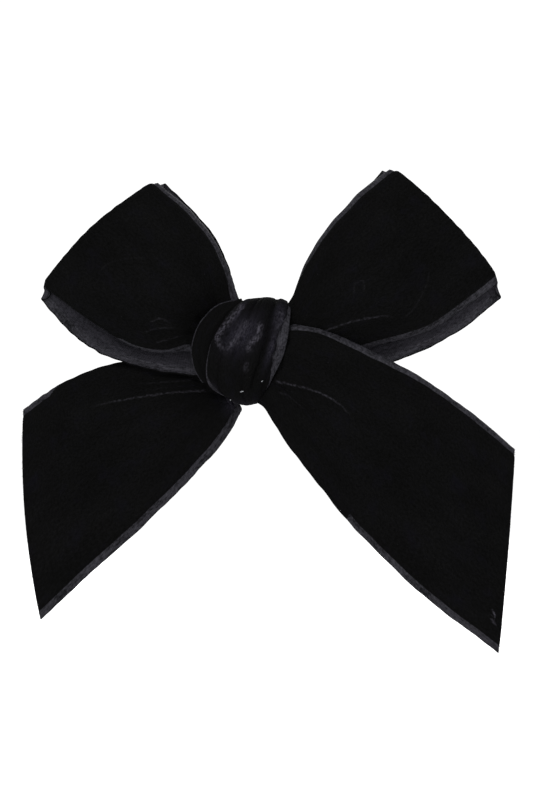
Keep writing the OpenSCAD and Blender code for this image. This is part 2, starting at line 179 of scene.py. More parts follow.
def smooth(x):
    x = np.clip(x, 0.0, 1.0)
    return x * x * (3 - 2 * x)


def through(a, b, c, d, t):
    """The value a fraction t of the way from b to c, on a smooth curve through all four."""
    return 0.5 * (
        a * (-t + 2 * t**2 - t**3) + b * (2 - 5 * t**2 + 3 * t**3)
        + c * (t + 4 * t**2 - 3 * t**3) + d * (t**3 - t**2)
    )


def spline(points, u):
    """The values at fractions u of the way along a list of points, on a smooth curve."""
    p, u = np.asarray(points, float), np.atleast_1d(u)
    last = len(p) - 1
    s = u * last
    i = np.clip(np.floor(s).astype(int), 0, last - 1)
    t = (s - i)[:, None]
    return through(*(p[np.clip(i + k, 0, last)] for k in (-1, 0, 1, 2)), t)


def round_spline(values, u):
    """The same on a closed round of values."""
    v = np.asarray(values, float)
    count = len(v)
    s = (np.atleast_1d(u) % 1.0) * count
    i = np.floor(s).astype(int)
    return through(*(v[(i + k) % count] for k in (-1, 0, 1, 2)), s - i)


def place(points):
    """From the design's coordinates to the frame, still in millimetres."""
    p = np.array(points, float)
    p[..., 1] = BOW_BACK - p[..., 1]
    return p


def wave_noise(a, b, seed):
    """A smooth, seeded, cloth-like unevenness of about -1 to 1 at the places a, b."""
    rng = np.random.default_rng(seed)
    total = np.zeros(np.broadcast(a, b).shape)
    for _ in range(7):
        angle, phase = rng.uniform(0, 2 * math.pi, 2)
        rate = rng.uniform(0.5, 1.6)
        total = total + np.sin(rate * (a * math.cos(angle) + b * math.sin(angle)) + phase)
    return total / 4


def clean(mesh, merge=0.0):
    """Joins points closer than merge metres and turns all faces outwards."""
    work = bmesh.new()
    work.from_mesh(mesh)
    if merge:
        bmesh.ops.remove_doubles(work, verts=work.verts, dist=merge)
    bmesh.ops.recalc_face_normals(work, faces=work.faces)
    work.to_mesh(mesh)
    work.free()


def mesh_piece(name, points_mm, faces, materials, slots=None, uvs=None):
    """A smooth-shaded mesh object from points in millimetres. uvs are one pair per point."""
    mesh = bpy.data.meshes.new(name)
    mesh.from_pydata((np.asarray(points_mm) * MM).tolist(), [], [list(f) for f in faces])
    for m in materials:
        mesh.materials.append(m)
    if slots is not None:
        mesh.polygons.foreach_set("material_index", np.asarray(slots, np.int32))
    if uvs is not None:
        layer = mesh.uv_layers.new(name="Cloth")
        loops = np.zeros(len(mesh.loops), np.int32)
        mesh.loops.foreach_get("vertex_index", loops)
        layer.data.foreach_set("uv", np.asarray(uvs, np.float32)[loops].ravel())
    clean(mesh)
    mesh.polygons.foreach_set("use_smooth", np.ones(len(mesh.polygons), bool))
    mesh.update()
    return new_object(name, mesh)


def run_length(path):
    """How far along a path each of its points is."""
    return np.concatenate([[0], np.cumsum(np.linalg.norm(np.diff(path, axis=0), axis=1))])


# The distance that stands for "no fold line near", and over what part of its length a fold line
# starts and fades away
FAR_GAP = 50.0
CREST_STARTS, CREST_ENDS = 0.08, 0.35


def nearest_line(x, z, line):
    """The signed distance in the bow's plane from a curve through points, and how far along it."""
    dense = spline(line, np.linspace(0, 1, 60))
    gap, along = np.full(x.shape, FAR_GAP), np.zeros(x.shape)
    for k, (a, b) in enumerate(zip(dense[:-1], dense[1:])):
        step = b - a
        t = np.clip(((x - a[0]) * step[0] + (z - a[1]) * step[1]) / max(step @ step, 1e-9), 0, 1)
        dx, dz = x - a[0] - t * step[0], z - a[1] - t * step[1]
        far = np.hypot(dx, dz)
        closer = far < np.abs(gap)
        gap = np.where(closer, np.where(step[0] * dz - step[1] * dx < 0, -far, far), gap)
        along = np.where(closer, (k + t) / (len(dense) - 1), along)
    return gap, along


def crest_marks(x, z, crests, reach):
    """The nearest fold line's signed distance, the strength of its painted highlight up to reach
    away, and the ridge there.
    """
    gap, strength, ridge = np.full(x.shape, FAR_GAP), np.zeros(x.shape), np.zeros(x.shape)
    for line, bright, tall, width in crests:
        far, along = nearest_line(x, z, line)
        fade = smooth(along / CREST_STARTS) * smooth((1 - along) / CREST_ENDS)
        closer = np.abs(far) < np.abs(gap)
        gap = np.where(closer, far, gap)
        strength = np.where(closer, bright * fade * smooth((1.7 - np.abs(far) / reach) / 0.7), strength)
        ridge = np.maximum(ridge, tall * fade * np.exp(-((far / width) ** 2)))
    return gap, strength, ridge


def mark(piece, **values):
    """Writes where the pile is pressed, as painted sheen and highlights, one number per point of the
    front, for the velvet's material.
    """
    for name, front in values.items():
        layer = piece.data.attributes.new(name, "FLOAT", "POINT")
        count = len(layer.data)
        every = np.full(count, FAR_GAP if name == "crest_gap" else 0.0, np.float32)
        every[:front.size] = front.ravel()
        layer.data.foreach_set("value", every)


def shell_faces(rows, cols, front_slots, back_slots, rim_slot):
    """Faces and material slots of a closed sheet: front points first, then back points."""
    n = rows * cols
    i, j = np.meshgrid(np.arange(rows - 1), np.arange(cols - 1), indexing="ij")
    a = (i * cols + j).ravel()
    front = np.stack([a, a + cols, a + cols + 1, a + 1], 1)
    back = np.stack([a, a + 1, a + cols + 1, a + cols], 1) + n
    e = np.arange(rows - 1) * cols
    f = e + cols - 1
    sides = np.concatenate([
        np.stack([e, e + n, e + cols + n, e + cols], 1),
        np.stack([f, f + cols, f + cols + n, f + n], 1),
    ])
    g = np.arange(cols - 1)
    h = g + (rows - 1) * cols
    ends = np.concatenate([
        np.stack([g, g + 1, g + 1 + n, g + n], 1),
        np.stack([h, h + n, h + 1 + n, h + 1], 1),
    ])
    faces = np.concatenate([front, back, sides, ends])
    slots = np.concatenate([
        np.tile(front_slots, rows - 1),
        np.tile(back_slots, rows - 1),
        np.full(len(sides) + len(ends), rim_slot),
    ])
    return faces, slots


# How much the two plies of a twisted thread stand out, as a share of its radius
TWIST_LOBES = 0.16


def ring_faces(rings, sides, capped=True):
    """Faces of a tube made of rings of points, with its ends closed if capped."""
    faces = []
    for i in range(rings - 1):
        for s in range(sides):
            t = (s + 1) % sides
            faces.append((i * sides + s, i * sides + t, (i + 1) * sides + t, (i + 1) * sides + s))
    if capped:
        faces.append(tuple(range(sides)))
        faces.append(tuple((rings - 1) * sides + s for s in reversed(range(sides))))
    return faces


def tube(name, path_mm, radius, sides, materials, reference, twist=0.0):
    """A round wire or twisted thread along a path; reference is never along the path."""
    path = np.asarray(path_mm, float)
    n = len(path)
    ahead = unit(np.gradient(path, axis=0))
    first = unit(np.cross(ahead, reference))
    second = np.cross(ahead, first)
    turn = np.linspace(0, 2 * math.pi, sides, endpoint=False)
    lobes = np.ones((n, sides))
    if twist:
        lobes += TWIST_LOBES * np.cos(2 * (turn[None, :] + twist * np.arange(n)[:, None]))
    ring = np.cos(turn)[None, :, None] * first[:, None] + np.sin(turn)[None, :, None] * second[:, None]
    points = path[:, None] + ring * (radius * lobes)[..., None]
    uvs = np.stack([np.repeat(run_length(path), sides), np.tile(turn * radius, n)], 1)
    return mesh_piece(name, points.reshape(-1, 3), ring_faces(n, sides), materials, uvs=uvs)


# ---------------------------------------------------------------- materials
def new_material(name, **constants):
    material = bpy.data.materials.new(name)
    material.use_nodes = True
    tree = material.node_tree
    shader = tree.nodes["Principled BSDF"]
    for socket, value in constants.items():
        shader.inputs[socket.replace("_", " ")].default_value = value
    return material, tree, shader


def add(tree, kind, **settings):
    node = tree.nodes.new("ShaderNode" + kind)
    for key, value in settings.items():
        if key in node.inputs:
            node.inputs[key].default_value = value
        else:
            setattr(node, key, value)
    return node


def coordinates(tree, kind, scale=(1, 1, 1)):
    """Texture coordinates times a scale: UV is in millimetres of cloth, Object in metres."""
    source = add(tree, "TexCoord")
    mapping = add(tree, "Mapping", Scale=scale)
    tree.links.new(source.outputs[kind], mapping.inputs["Vector"])
    return mapping.outputs["Vector"]


def noise(tree, vector, scale, detail, rough):
    node = add(tree, "TexNoise", Scale=scale, Detail=detail, Roughness=rough)
    tree.links.new(vector, node.inputs["Vector"])
    return node.outputs["Fac"]


def cloth_noise(tree, stretch, scale, detail, rough):
    """Noise over a piece of cloth, stretched along and across the ribbon."""
    return noise(tree, coordinates(tree, "UV", (*stretch, 1)), scale, detail, rough)


def bands(tree, vector, scale, direction, distortion):
    node = add(tree, "TexWave", wave_type="BANDS", bands_direction=direction, Scale=scale,
               Distortion=distortion, Detail=1.0)
    tree.links.new(vector, node.inputs["Vector"])
    return node.outputs["Fac"]


def ramp(tree, value, stops):
    node = add(tree, "ValToRGB")
    ends = node.color_ramp.elements
    while len(ends) < len(stops):
        ends.new(0.5)
    for end, (position, color) in zip(ends, stops):
        end.position = position
        end.color = (*color, 1)
    tree.links.new(value, node.inputs["Fac"])
    return node.outputs["Color"]


def grey(value):
    return (value, value, value)


def math_node(tree, operation, a, b):
    node = add(tree, "Math", operation=operation)
    for socket, value in zip(node.inputs, (a, b)):
        if isinstance(value, (int, float)):
            socket.default_value = value
        else:
            tree.links.new(value, socket)
    return node.outputs[0]


def times(tree, a, b):
    return math_node(tree, "MULTIPLY", a, b)


def plus(tree, a, b):
    return math_node(tree, "ADD", a, b)


def off_centre(tree, value):
    """How far a noise value lies from its middle, whichever way."""
    return math_node(tree, "ABSOLUTE", math_node(tree, "SUBTRACT", value, 0.5), 0.0)


def mix(tree, factor, a, b, blend="MIX"):
    node = add(tree, "Mix", data_type="RGBA", blend_type=blend)
    for socket, value in ((node.inputs[0], factor), (node.inputs[6], a), (node.inputs[7], b)):
        if isinstance(value, (int, float)):
            socket.default_value = value
        elif isinstance(value, tuple):
            socket.default_value = (*value, 1)
        else:
            tree.links.new(value, socket)
    return node.outputs[2]


def feed(tree, shader, socket, value):
    tree.links.new(value, shader.inputs[socket])


def bump(tree, shader, height, distance_mm, strength):
    node = add(tree, "Bump", Strength=strength, Distance=distance_mm * MM)
    tree.links.new(height, node.inputs["Height"])
    feed(tree, shader, "Normal", node.outputs["Normal"])


VELVET_DARK, VELVET_NAP = (0.00185, 0.00185, 0.0018), (0.00275, 0.00275, 0.00275)
# Painted light on the pile: a dim violet painted sheen where it is pressed, and a bright painted highlight
# on pressed pile and along fold lines. The lint is real.
PRESSED_SHEEN, PAINTED_HIGHLIGHT, LINT = (0.0084, 0.0077, 0.0122), (0.040, 0.038, 0.047), (0.030, 0.030, 0.032)
BLOOM = (0.0031, 0.0029, 0.0050)
# Half the width of a crest line's painted highlight at its bright middle and of its whole, in millimetres
CREST_CORE, CREST_EDGE = 0.10, 0.30


def velvet_material(name):
    """Cut pile: nearly black, with a leaning nap, a fine fibre grain and a little lint. Where the
    pile is pressed flat it catches the light, and that light is painted into the colour as painted
    sheen and painted highlights: "crush" is 0 to 1 over a pressed area of painted sheen, "crest" is
    the strength of the painted highlight on the nearest fold line and "crest_gap" the distance
    from it in millimetres."""
    material, tree, shader = new_material(
        name, Roughness=0.95, Specular_IOR_Level=0.012, Sheen_Weight=0.004, Sheen_Roughness=0.5,
        Sheen_Tint=(0.95, 0.95, 1.0, 1.0))
    cloth = coordinates(tree, "UV")
    nap = cloth_noise(tree, (0.4, 1), 0.16, 3.0, 0.6)
    grain = cloth_noise(tree, (0.8, 1.2), 1.7, 4.0, 0.75)
    fibre = noise(tree, cloth, 6.0, 3.0, 0.7)
    color = ramp(tree, nap, [(0.35, VELVET_DARK), (0.7, VELVET_NAP)])
    tufts = ramp(tree, grain, [(0.36, (0.60, 0.60, 0.58)), (0.66, (1.40, 1.40, 1.50))])
    color = mix(tree, 0.9, color, tufts, "MULTIPLY")
    ends = ramp(tree, fibre, [(0.3, grey(0.5)), (0.75, grey(1.4))])
    color = mix(tree, 0.5, color, ends, "MULTIPLY")
    patches = cloth_noise(tree, (0.7, 1), 0.22, 4.0, 0.65)
    color = mix(tree, ramp(tree, patches, [(0.54, grey(0.0)), (0.75, grey(0.45))]), color, BLOOM)

    # From here on the colour paints light: a mottled painted sheen over pressed areas, then bright painted
    # highlights as squiggles within them and as speckled lines along fold crests.
    area, strength, gap = (
        add(tree, "Attribute", attribute_name=layer).outputs["Fac"]
        for layer in ("crush", "crest", "crest_gap"))
    wander = noise(tree, cloth, 1.1, 2.0, 0.5)
    shaky = plus(tree, gap, times(tree, math_node(tree, "SUBTRACT", wander, 0.5), 0.5))
    near = math_node(tree, "ABSOLUTE", shaky, 0.0)
    line = ramp(tree, near, [(0.0, grey(1.0)), (CREST_CORE, grey(0.75)), (CREST_EDGE, grey(0.0))])
    speck = cloth_noise(tree, (0.9, 1.1), 1.5, 4.0, 0.7)
    speckled = ramp(tree, speck, [(0.42, grey(0.05)), (0.60, grey(1.0))])
    wear_and_sheen_mottle = cloth_noise(tree, (0.8, 1.2), 0.9, 3.0, 0.65)
    contour = off_centre(tree, cloth_noise(tree, (0.8, 1.2), 0.85, 5.0, 0.75))
    squiggle = ramp(tree, contour, [(0.0, grey(0.9)), (0.018, grey(0.5)), (0.04, grey(0.0))])
    patchy_sheen = times(tree, area, ramp(tree, wear_and_sheen_mottle, [(0.3, grey(0.35)), (0.6, grey(1.0))]))
    color = mix(tree, patchy_sheen, color, PRESSED_SHEEN)
    lit = times(tree, times(tree, area, area), squiggle)
    on_line = times(tree, times(tree, strength, line), speckled)
    color = mix(tree, math_node(tree, "MAXIMUM", lit, on_line), color, PAINTED_HIGHLIGHT)

    spots = add(tree, "TexVoronoi", Scale=0.13, Randomness=1.0)
    tree.links.new(cloth, spots.inputs["Vector"])
    lint = ramp(tree, spots.outputs["Distance"], [(0.0, grey(0.7)), (0.016, grey(0.3)), (0.026, grey(0.0))])
    feed(tree, shader, "Base Color", mix(tree, lint, color, LINT))
    feed(tree, shader, "Roughness", ramp(tree, nap, [(0.3, grey(0.9)), (0.7, grey(1.0))]))
    bump(tree, shader, plus(tree, times(tree, fibre, 0.6), grain), 0.14, 0.6)
    return material


# A wave texture at scale 1 repeats about every third of a unit.
WAVE_REPEAT = 0.314


def woven_material(name, dark, light, rib_mm, cord_mm, roughness, relief_mm, specular=0.12, uneven=0.5):
    """A plain woven ground: ribs across the ribbon, cords along it, and uneven wear, of which
    uneven is the share in the tone."""
    material, tree, shader = new_material(name, Roughness=roughness, Specular_IOR_Level=specular)
    cloth = coordinates(tree, "UV")
    ribs = bands(tree, cloth, WAVE_REPEAT / rib_mm, "X", 0.6)
    cords = bands(tree, cloth, WAVE_REPEAT / cord_mm, "Y", 0.4)
    weave = times(tree, plus(tree, ribs, 0.35), plus(tree, cords, 0.45))
    wear = cloth_noise(tree, (0.35, 1), 0.45, 4.0, 0.6)
    slub = cloth_noise(tree, (0.9, 1.2), 1.5, 3.0, 0.7)
    wear_and_sheen_mottle = plus(tree, times(tree, wear, 0.4), times(tree, slub, 0.6))
    wear_and_sheen_mottle = ramp(tree, wear_and_sheen_mottle, [(0.38, grey(0.0)), (0.64, grey(1.0))])
    tone = plus(tree, times(tree, weave, (1 - uneven) / 1.4), times(tree, wear_and_sheen_mottle, uneven))
    feed(tree, shader, "Base Color", ramp(tree, tone, [(0.1, dark), (0.9, light)]))
    rough = [(0.3, grey(roughness - 0.08)), (0.7, grey(min(1.0, roughness + 0.12)))]
    feed(tree, shader, "Roughness", ramp(tree, wear, rough))
    bump(tree, shader, weave, relief_mm, 0.8)
    return material


def steel_material(name, color, roughness):
    """Plated steel with drawn lines, fine scratches and a duller, stained tone in places."""
    material, tree, shader = new_material(name, Metallic=1.0, Roughness=roughness)
    lines = noise(tree, coordinates(tree, "Object", (40, 900, 900)), 3.0, 4.0, 0.6)
    stain = noise(tree, coordinates(tree, "Object"), 160.0, 5.0, 0.6)
    dull, scratched = (tuple(share * c for c in color) for share in (0.62, 0.8))
    plated = ramp(tree, stain, [(0.35, color), (0.8, dull)])
    feed(tree, shader, "Base Color", mix(tree, times(tree, lines, 0.35), plated, scratched))
    rough = [(0.1, grey(roughness - 0.08)), (0.5, grey(roughness + 0.2))]
    feed(tree, shader, "Roughness", ramp(tree, times(tree, lines, stain), rough))
    bump(tree, shader, lines, 0.01, 0.5)
    return material


def cloudy_material(name, pattern, tones, rough, relief_mm, strength, **constants):
    """A material whose colour, roughness and bump follow one noise. pattern is its coordinates'
    kind and stretch, its scale, detail and roughness; tones and rough are ramps."""
    material, tree, shader = new_material(name, **constants)
    kind, stretch, *settings = pattern
    value = noise(tree, coordinates(tree, kind, stretch), *settings)
    feed(tree, shader, "Base Color", ramp(tree, value, tones))
    feed(tree, shader, "Roughness", ramp(tree, value, [(at, grey(r)) for at, r in rough]))
    bump(tree, shader, value, relief_mm, strength)
    return material


velvet = velvet_material("velvet_pile")
satin = woven_material(
    "woven_back", (0.0028, 0.0027, 0.0038), (0.0190, 0.0182, 0.0228), 0.34, 0.26, 0.6, 0.03, 0.04, 0.7)
selvedge = woven_material(
    "selvedge_weave", (0.0018, 0.0018, 0.0024), (0.0270, 0.0262, 0.0315), 0.33, 0.5, 0.65, 0.05, 0.04, 0.85)
fray = woven_material("cut_fibres", (0.008, 0.008, 0.009), (0.040, 0.039, 0.043), 0.3, 0.3, 0.8, 0.02)
thread_black = woven_material(
    "twisted_thread", (0.008, 0.008, 0.010), (0.028, 0.027, 0.033), 0.35, 0.2, 0.5, 0.04)
grosgrain = woven_material(
    "grosgrain_ribs", (0.010, 0.010, 0.013), (0.050, 0.048, 0.058), 0.75, 0.3, 0.6, 0.09)
clip_steel = steel_material("nickel_plate", (0.30, 0.296, 0.285), 0.34)
spring_steel = steel_material("spring_wire", (0.24, 0.24, 0.25), 0.40)
glue = cloudy_material(
    "set_glue", ("Object", (1, 1, 1), 420.0, 4.0, 0.6),
    [(0.3, (0.42, 0.40, 0.34)), (0.75, (0.66, 0.64, 0.58))], [(0.3, 0.2), (0.7, 0.45)], 0.15, 0.6,
    Roughness=0.3, Specular_IOR_Level=0.4, Subsurface_Weight=0.2)
nylon = cloudy_material(
    "clear_nylon", ("UV", (0.6, 8, 1), 2.0, 2.0, 0.5),
    [(0.3, (0.12, 0.125, 0.135)), (0.7, (0.26, 0.265, 0.28))], [(0.3, 0.08), (0.7, 0.22)], 0.02, 0.5,
    Roughness=0.12, Specular_IOR_Level=0.6)
VELVET, SATIN, SELVEDGE = range(3)
CLOTH = [velvet, satin, selvedge]


# ---------------------------------------------------------------- ribbon
def flat_row(station):
    """A station as one list of 8 numbers."""
    return [*station[0], *station[1], station[2], station[3]]


# How many rows of a run lie inside the knot
TUCK_ROWS = 14
FORWARD = np.array([0.0, 1.0, 0.0])


def tucked(tuck, run):
    """Rows from inside the knot to the first station, leaving in the run's direction."""
    a = np.array(flat_row(tuck))
    p = np.array([flat_row(s) for s in run[:2]])
    gap = np.linalg.norm((p[0] - a)[:3] + (p[0] - a)[3:6]) / 2
    step = np.linalg.norm((p[1] - p[0])[:3] + (p[1] - p[0])[3:6]) / 2
    leave, arrive = p[0] - a, (p[1] - p[0]) * gap / step
    t = np.linspace(0, 1, TUCK_ROWS, endpoint=False)[:, None]
    return (
        (2 * t**3 - 3 * t**2 + 1) * a + (t**3 - 2 * t**2 + t) * leave
        + (3 * t**2 - 2 * t**3) * p[0] + (t**3 - t**2) * arrive
    )


def run_rows(tuck, run):
    """Rows of a run as 8 numbers each, about ROW_STEP apart, and how far along each one is:
    below 0 inside the knot, then 0 to 1."""
    p = np.array([flat_row(s) for s in run])
    length = run_length((p[:, :3] + p[:, 3:6]) / 2)[-1]
    u = np.linspace(0, 1, int(length / ROW_STEP) + 1)
    rows = spline(p, u)
    if tuck is None:
        return rows, u
    inside = np.linspace(-1, 0, TUCK_ROWS, endpoint=False)
    return np.concatenate([tucked(tuck, run), rows]), np.concatenate([inside, u])


# How many points lie across a row, and where along a run its folds start
ACROSS = 181
FOLD_FROM = -0.2


def arched(rows, u, side, folds, lift):
    """Points across every row: the arched base line with its lengthwise folds.
    lift is 1 where the pile faces forward and -1 where it faces the back."""
    top, low = rows[:, None, :3], rows[:, None, 3:6]
    v = np.linspace(0, 1, ACROSS)[None, :, None]
    chord = low - top
    away = side * unit(np.stack([-chord[..., 2], 0 * chord[..., 0], chord[..., 0]], -1))
    arch = 4 * v * (1 - v)
    points = top + chord * v + arch * (rows[:, None, 6:7] * FORWARD + rows[:, None, 7:8] * away)
    along = u[:, None]
    across = v[..., 0]
    height = np.zeros((len(rows), ACROSS))
    for near, far, width, tall, reach in folds:
        t = np.clip((along - FOLD_FROM) / (reach - FOLD_FROM), 0, 1)
        centre = near + (far - near) * t
        strength = (1 - smooth(t)) * smooth((along - FOLD_FROM) / 0.15 + 1)
        height += tall * strength * np.exp(-np.abs((across - centre) / width) ** 1.6)
    points[..., 1] += lift * height * smooth(across / 0.07) * smooth((1 - across) / 0.07)
    return points


SELVEDGE_STEPS = np.array([0, 0.05, 0.1, 0.17, 0.24, 0.32, 0.4, 0.5, 0.6, 0.7, 0.8, 0.88, 1.0])
PILE_STEPS = np.concatenate([
    [0, 0.006, 0.014, 0.028], np.linspace(0.045, 0.955, 93), [0.972, 0.986, 0.994, 1.0]
])
N_EDGE = len(SELVEDGE_STEPS) - 1


def bordered(middle, border):
    """Values across the pile between those across its two selvedges, from the pile outwards."""
    return np.concatenate([border[::-1], middle, border])


def both_ends(t, reach):
    """Rises from 0 to 1 over reach at both ends of 0 to 1."""
    return np.minimum(smooth(t / reach), smooth((1 - t) / reach))


# How thick the ground is and how high the pile stands across a ribbon, as shares of the whole
THICK = bordered(np.ones(len(PILE_STEPS)), smooth((1 - SELVEDGE_STEPS[1:]) / 0.12) * 0.7 + 0.3)
FULL_PILE = bordered(both_ends(PILE_STEPS, 0.022), np.zeros(N_EDGE))
TUFT = 0.035


def cut_to_ribbon(row, inward, inset, curl, width, jitter):
    """The columns of a ribbon on one row. The pile covers the row, less its insets, and a
    selvedge of the given width curls away from the pile at each edge."""
    s = run_length(row)
    curl = np.maximum(np.radians(curl), 1e-3)
    shown = width * np.sin(np.minimum(curl, math.pi / 2)) / curl
    first, last = inset[0] * shown[0] + jitter[0], s[-1] - inset[1] * shown[1] + jitter[1]
    at = first + (last - first) * PILE_STEPS
    pile = np.stack([np.interp(at, s, row[:, k]) for k in range(3)], 1)
    edges = []
    c = SELVEDGE_STEPS[1:, None]
    for end, before, angle, wide in zip(pile[[0, -1]], pile[[2, -3]], curl, width):
        out = unit(end - before)
        down = unit(inward - np.dot(inward, out) * out)
        edges.append(end + wide * (out * np.sin(angle * c) + down * (1 - np.cos(angle * c))) / angle)
    return np.concatenate([edges[0][::-1], pile, edges[1]])


def per_row(spec, u):
    """A pair of values, upper and lower, along a run; each is a number or a list of (u, value)."""
    return np.stack([
        np.full(len(u), float(s)) if isinstance(s, (int, float)) else np.interp(u, *zip(*s)) for s in spec
    ], 1)


# Curled this far, a selvedge is rolled under and only pile shows; over the last PEEL degrees the
# pile creeps out over it. The last part of a selvedge is coloured with the near-black velvet, as
# painted shade in the gap behind its edge.
ROLLED, PEEL = 160.0, 40.0
EDGE_JITTER, EDGE_RAGGED = 0.09, 0.07


def ribbon_grid(strip, wide, seed):
    """A ribbon's middle surface, cut to its width, with slightly uneven and ragged edges."""
    count = np.arange(len(strip), dtype=float)
    jitter = EDGE_JITTER * np.stack([wave_noise(count * 0.55, 0 * count, seed + k) for k in (3, 4)], 1)
    grid = np.array([cut_to_ribbon(*row, wide, shift) for row, shift in zip(strip, jitter)])
    cols = grid.shape[1]
    upper_edge, lower_edge = slice(0, N_EDGE), slice(cols - N_EDGE, cols)
    for edge, inner, order in ((upper_edge, N_EDGE, -1), (lower_edge, cols - N_EDGE - 1, 1)):
        out = unit(grid[:, inner] - grid[:, inner - 2 * order])
        ragged = EDGE_RAGGED * wave_noise(count * 0.9, 0 * count, seed + 5 + order)
        weight = (SELVEDGE_STEPS[1:] ** 2)[::order]
        grid[:, edge] += out[:, None] * ragged[:, None, None] * weight[None, :, None]
    return grid


# Painted sheen: where the pile is pressed, and along the cut end, it is coloured lighter, as if it caught
# the light.
def painted_sheen_mask(grid, patches, end_wear_sheen):
    pressed = np.zeros(grid.shape[:2])
    for x, z, reach, amount in patches:
        far = np.hypot(grid[..., 0] - x, grid[..., 2] - z) / reach
        pressed = np.maximum(pressed, amount * np.exp(-far**2))
    pressed[-1] = np.maximum(pressed[-1], end_wear_sheen)
    return pressed


def ribbon_faces(curls, cols):
    """Faces and slots of a ribbon whose selvedges curl by so many degrees on each row."""
    rows = len(curls)
    # The outermost column of each selvedge takes the velvet: painted shade along its edge.
    margin = np.append(np.full(N_EDGE - 1, SELVEDGE), VELVET)
    front, back = (bordered(np.full(cols - 1 - 2 * N_EDGE, slot), margin) for slot in (VELVET, SATIN))
    faces, slots = shell_faces(rows, cols, front, back, VELVET)
    covered = (curls[:-1] - ROLLED + PEEL) / PEEL
    table = slots[:(rows - 1) * (cols - 1)].reshape(rows - 1, cols - 1)
    under_pile = SELVEDGE_STEPS[:-1] < covered[..., None]
    table[:, :N_EDGE][under_pile[:, 0, ::-1]] = VELVET
    table[:, -N_EDGE:][under_pile[:, 1]] = VELVET
    return faces, slots


def ribbon_sheet(name, strip, side, uneven, seed, wide=(SELVEDGE_W, SELVEDGE_W), pile=PILE_H,
                 crests=(), crest_rows=None, patches=(), end_wear_sheen=0.0):
    """A closed, detailed ribbon from a list of (points, inward, inset, curl) per row. crests are
    fold lines, with painted highlights, on the first crest_rows rows; patches are (x, z, reach,
    strength) of painted sheen on pressed pile, and end_wear_sheen is how far the pile wears along the
    cut end, shown there as painted sheen."""
    grid = ribbon_grid(strip, wide, seed)
    rows, cols = grid.shape[:2]
    flat_u = run_length(grid[:, cols // 2])[:, None]
    flat_v = np.concatenate([
        wide[0] * (1 - SELVEDGE_STEPS[:0:-1]), wide[0] + (RIBBON_W - sum(wide)) * PILE_STEPS,
        RIBBON_W - wide[1] * (1 - SELVEDGE_STEPS[1:])
    ])[None, :]
    on_crest = np.zeros((rows, 1))
    on_crest[:crest_rows] = 1
    gap, strength, ridge = crest_marks(grid[..., 0], grid[..., 2], crests, reach=1.0)
    pressed = painted_sheen_mask(grid, patches, end_wear_sheen)
    grid = place(grid)
    normal = side * -1 * unit(np.cross(np.gradient(grid, axis=0), np.gradient(grid, axis=1)))
    ripple = wave_noise(flat_u / 5.0, flat_v / 4.0, seed)
    grid = grid + normal * (uneven * ripple + on_crest * ridge)[..., None]
    fine = wave_noise(flat_u * 2.1, flat_v * 2.4, seed + 1)
    upper = grid + normal * (GROUND_T * THICK + pile * FULL_PILE + TUFT * fine * FULL_PILE)[..., None]
    lower = grid - normal * (GROUND_T * THICK)[None, :, None]
    faces, slots = ribbon_faces(np.array([row[3] for row in strip]), cols)
    uv = np.stack(np.broadcast_arrays(flat_u, flat_v), -1).reshape(-1, 2)
    points = np.concatenate([upper.reshape(-1, 3), lower.reshape(-1, 3)])
    piece = mesh_piece(name, points, faces, CLOTH, slots, np.concatenate([uv, uv]))
    gap = np.where(on_crest > 0, gap, FAR_GAP)
    mark(piece, crush=on_crest * pressed, crest=on_crest * strength, crest_gap=gap)
    return piece, flat_u[-1, 0], (upper, lower)


def strip_grid(tuck, run, side, folds, inset, curl, lift=1):
    rows, u = run_rows(tuck, run)
    points = arched(rows, u, side, folds, lift)
    insets, curls = per_row(inset, u), per_row(curl, u)
    inward = -lift * FORWARD
    return [(p, inward, a, c) for p, a, c in zip(points, insets, curls)]


FOLD_OUT, FOLD_UNEVEN = 0.5, 0.28
FOLD_ROWS = 14
# How deep a crease is nicked at its two ends, and over what length
NICK, NICK_LONG = 1.0, 1.2


def loop_grid(front, back, side):
    """Front rows from the knot outwards, the round fold, then the back rows to the knot."""
    (p, _, a, c), (q, _, b, d) = front[-1], back[-1]
    turns = []
    chord = p[-1] - p[0]
    away = side * unit(np.array([-chord[2], 0.0, chord[0]]))
    for k in range(1, FOLD_ROWS):
        t = k / FOLD_ROWS
        angle = math.pi * t
        middle = (p + q) / 2
        long = np.linalg.norm(p - p[0], axis=1)
        out = FOLD_OUT * (1 + FOLD_UNEVEN * wave_noise(long * 1.6, 0 * long, 29)) * math.sin(angle)
        points = middle + (p - middle) * math.cos(angle) + away * out[:, None]
        from_end = np.minimum(long, long[-1] - long)
        nick = NICK * math.sin(angle) ** 2 * np.exp(-((from_end / NICK_LONG) ** 2))
        points = points - away * nick[:, None]
        inward = -(math.cos(angle) * FORWARD + math.sin(angle) * away)
        turns.append((points, inward, a + (b - a) * t, c + (d - c) * t))
    return front + turns + back[::-1]


# A fibre's radius, and how far its direction and its bend stray
FIBRE_R, FIBRE_STRAY, FIBRE_BEND = 0.034, 0.35, 0.25


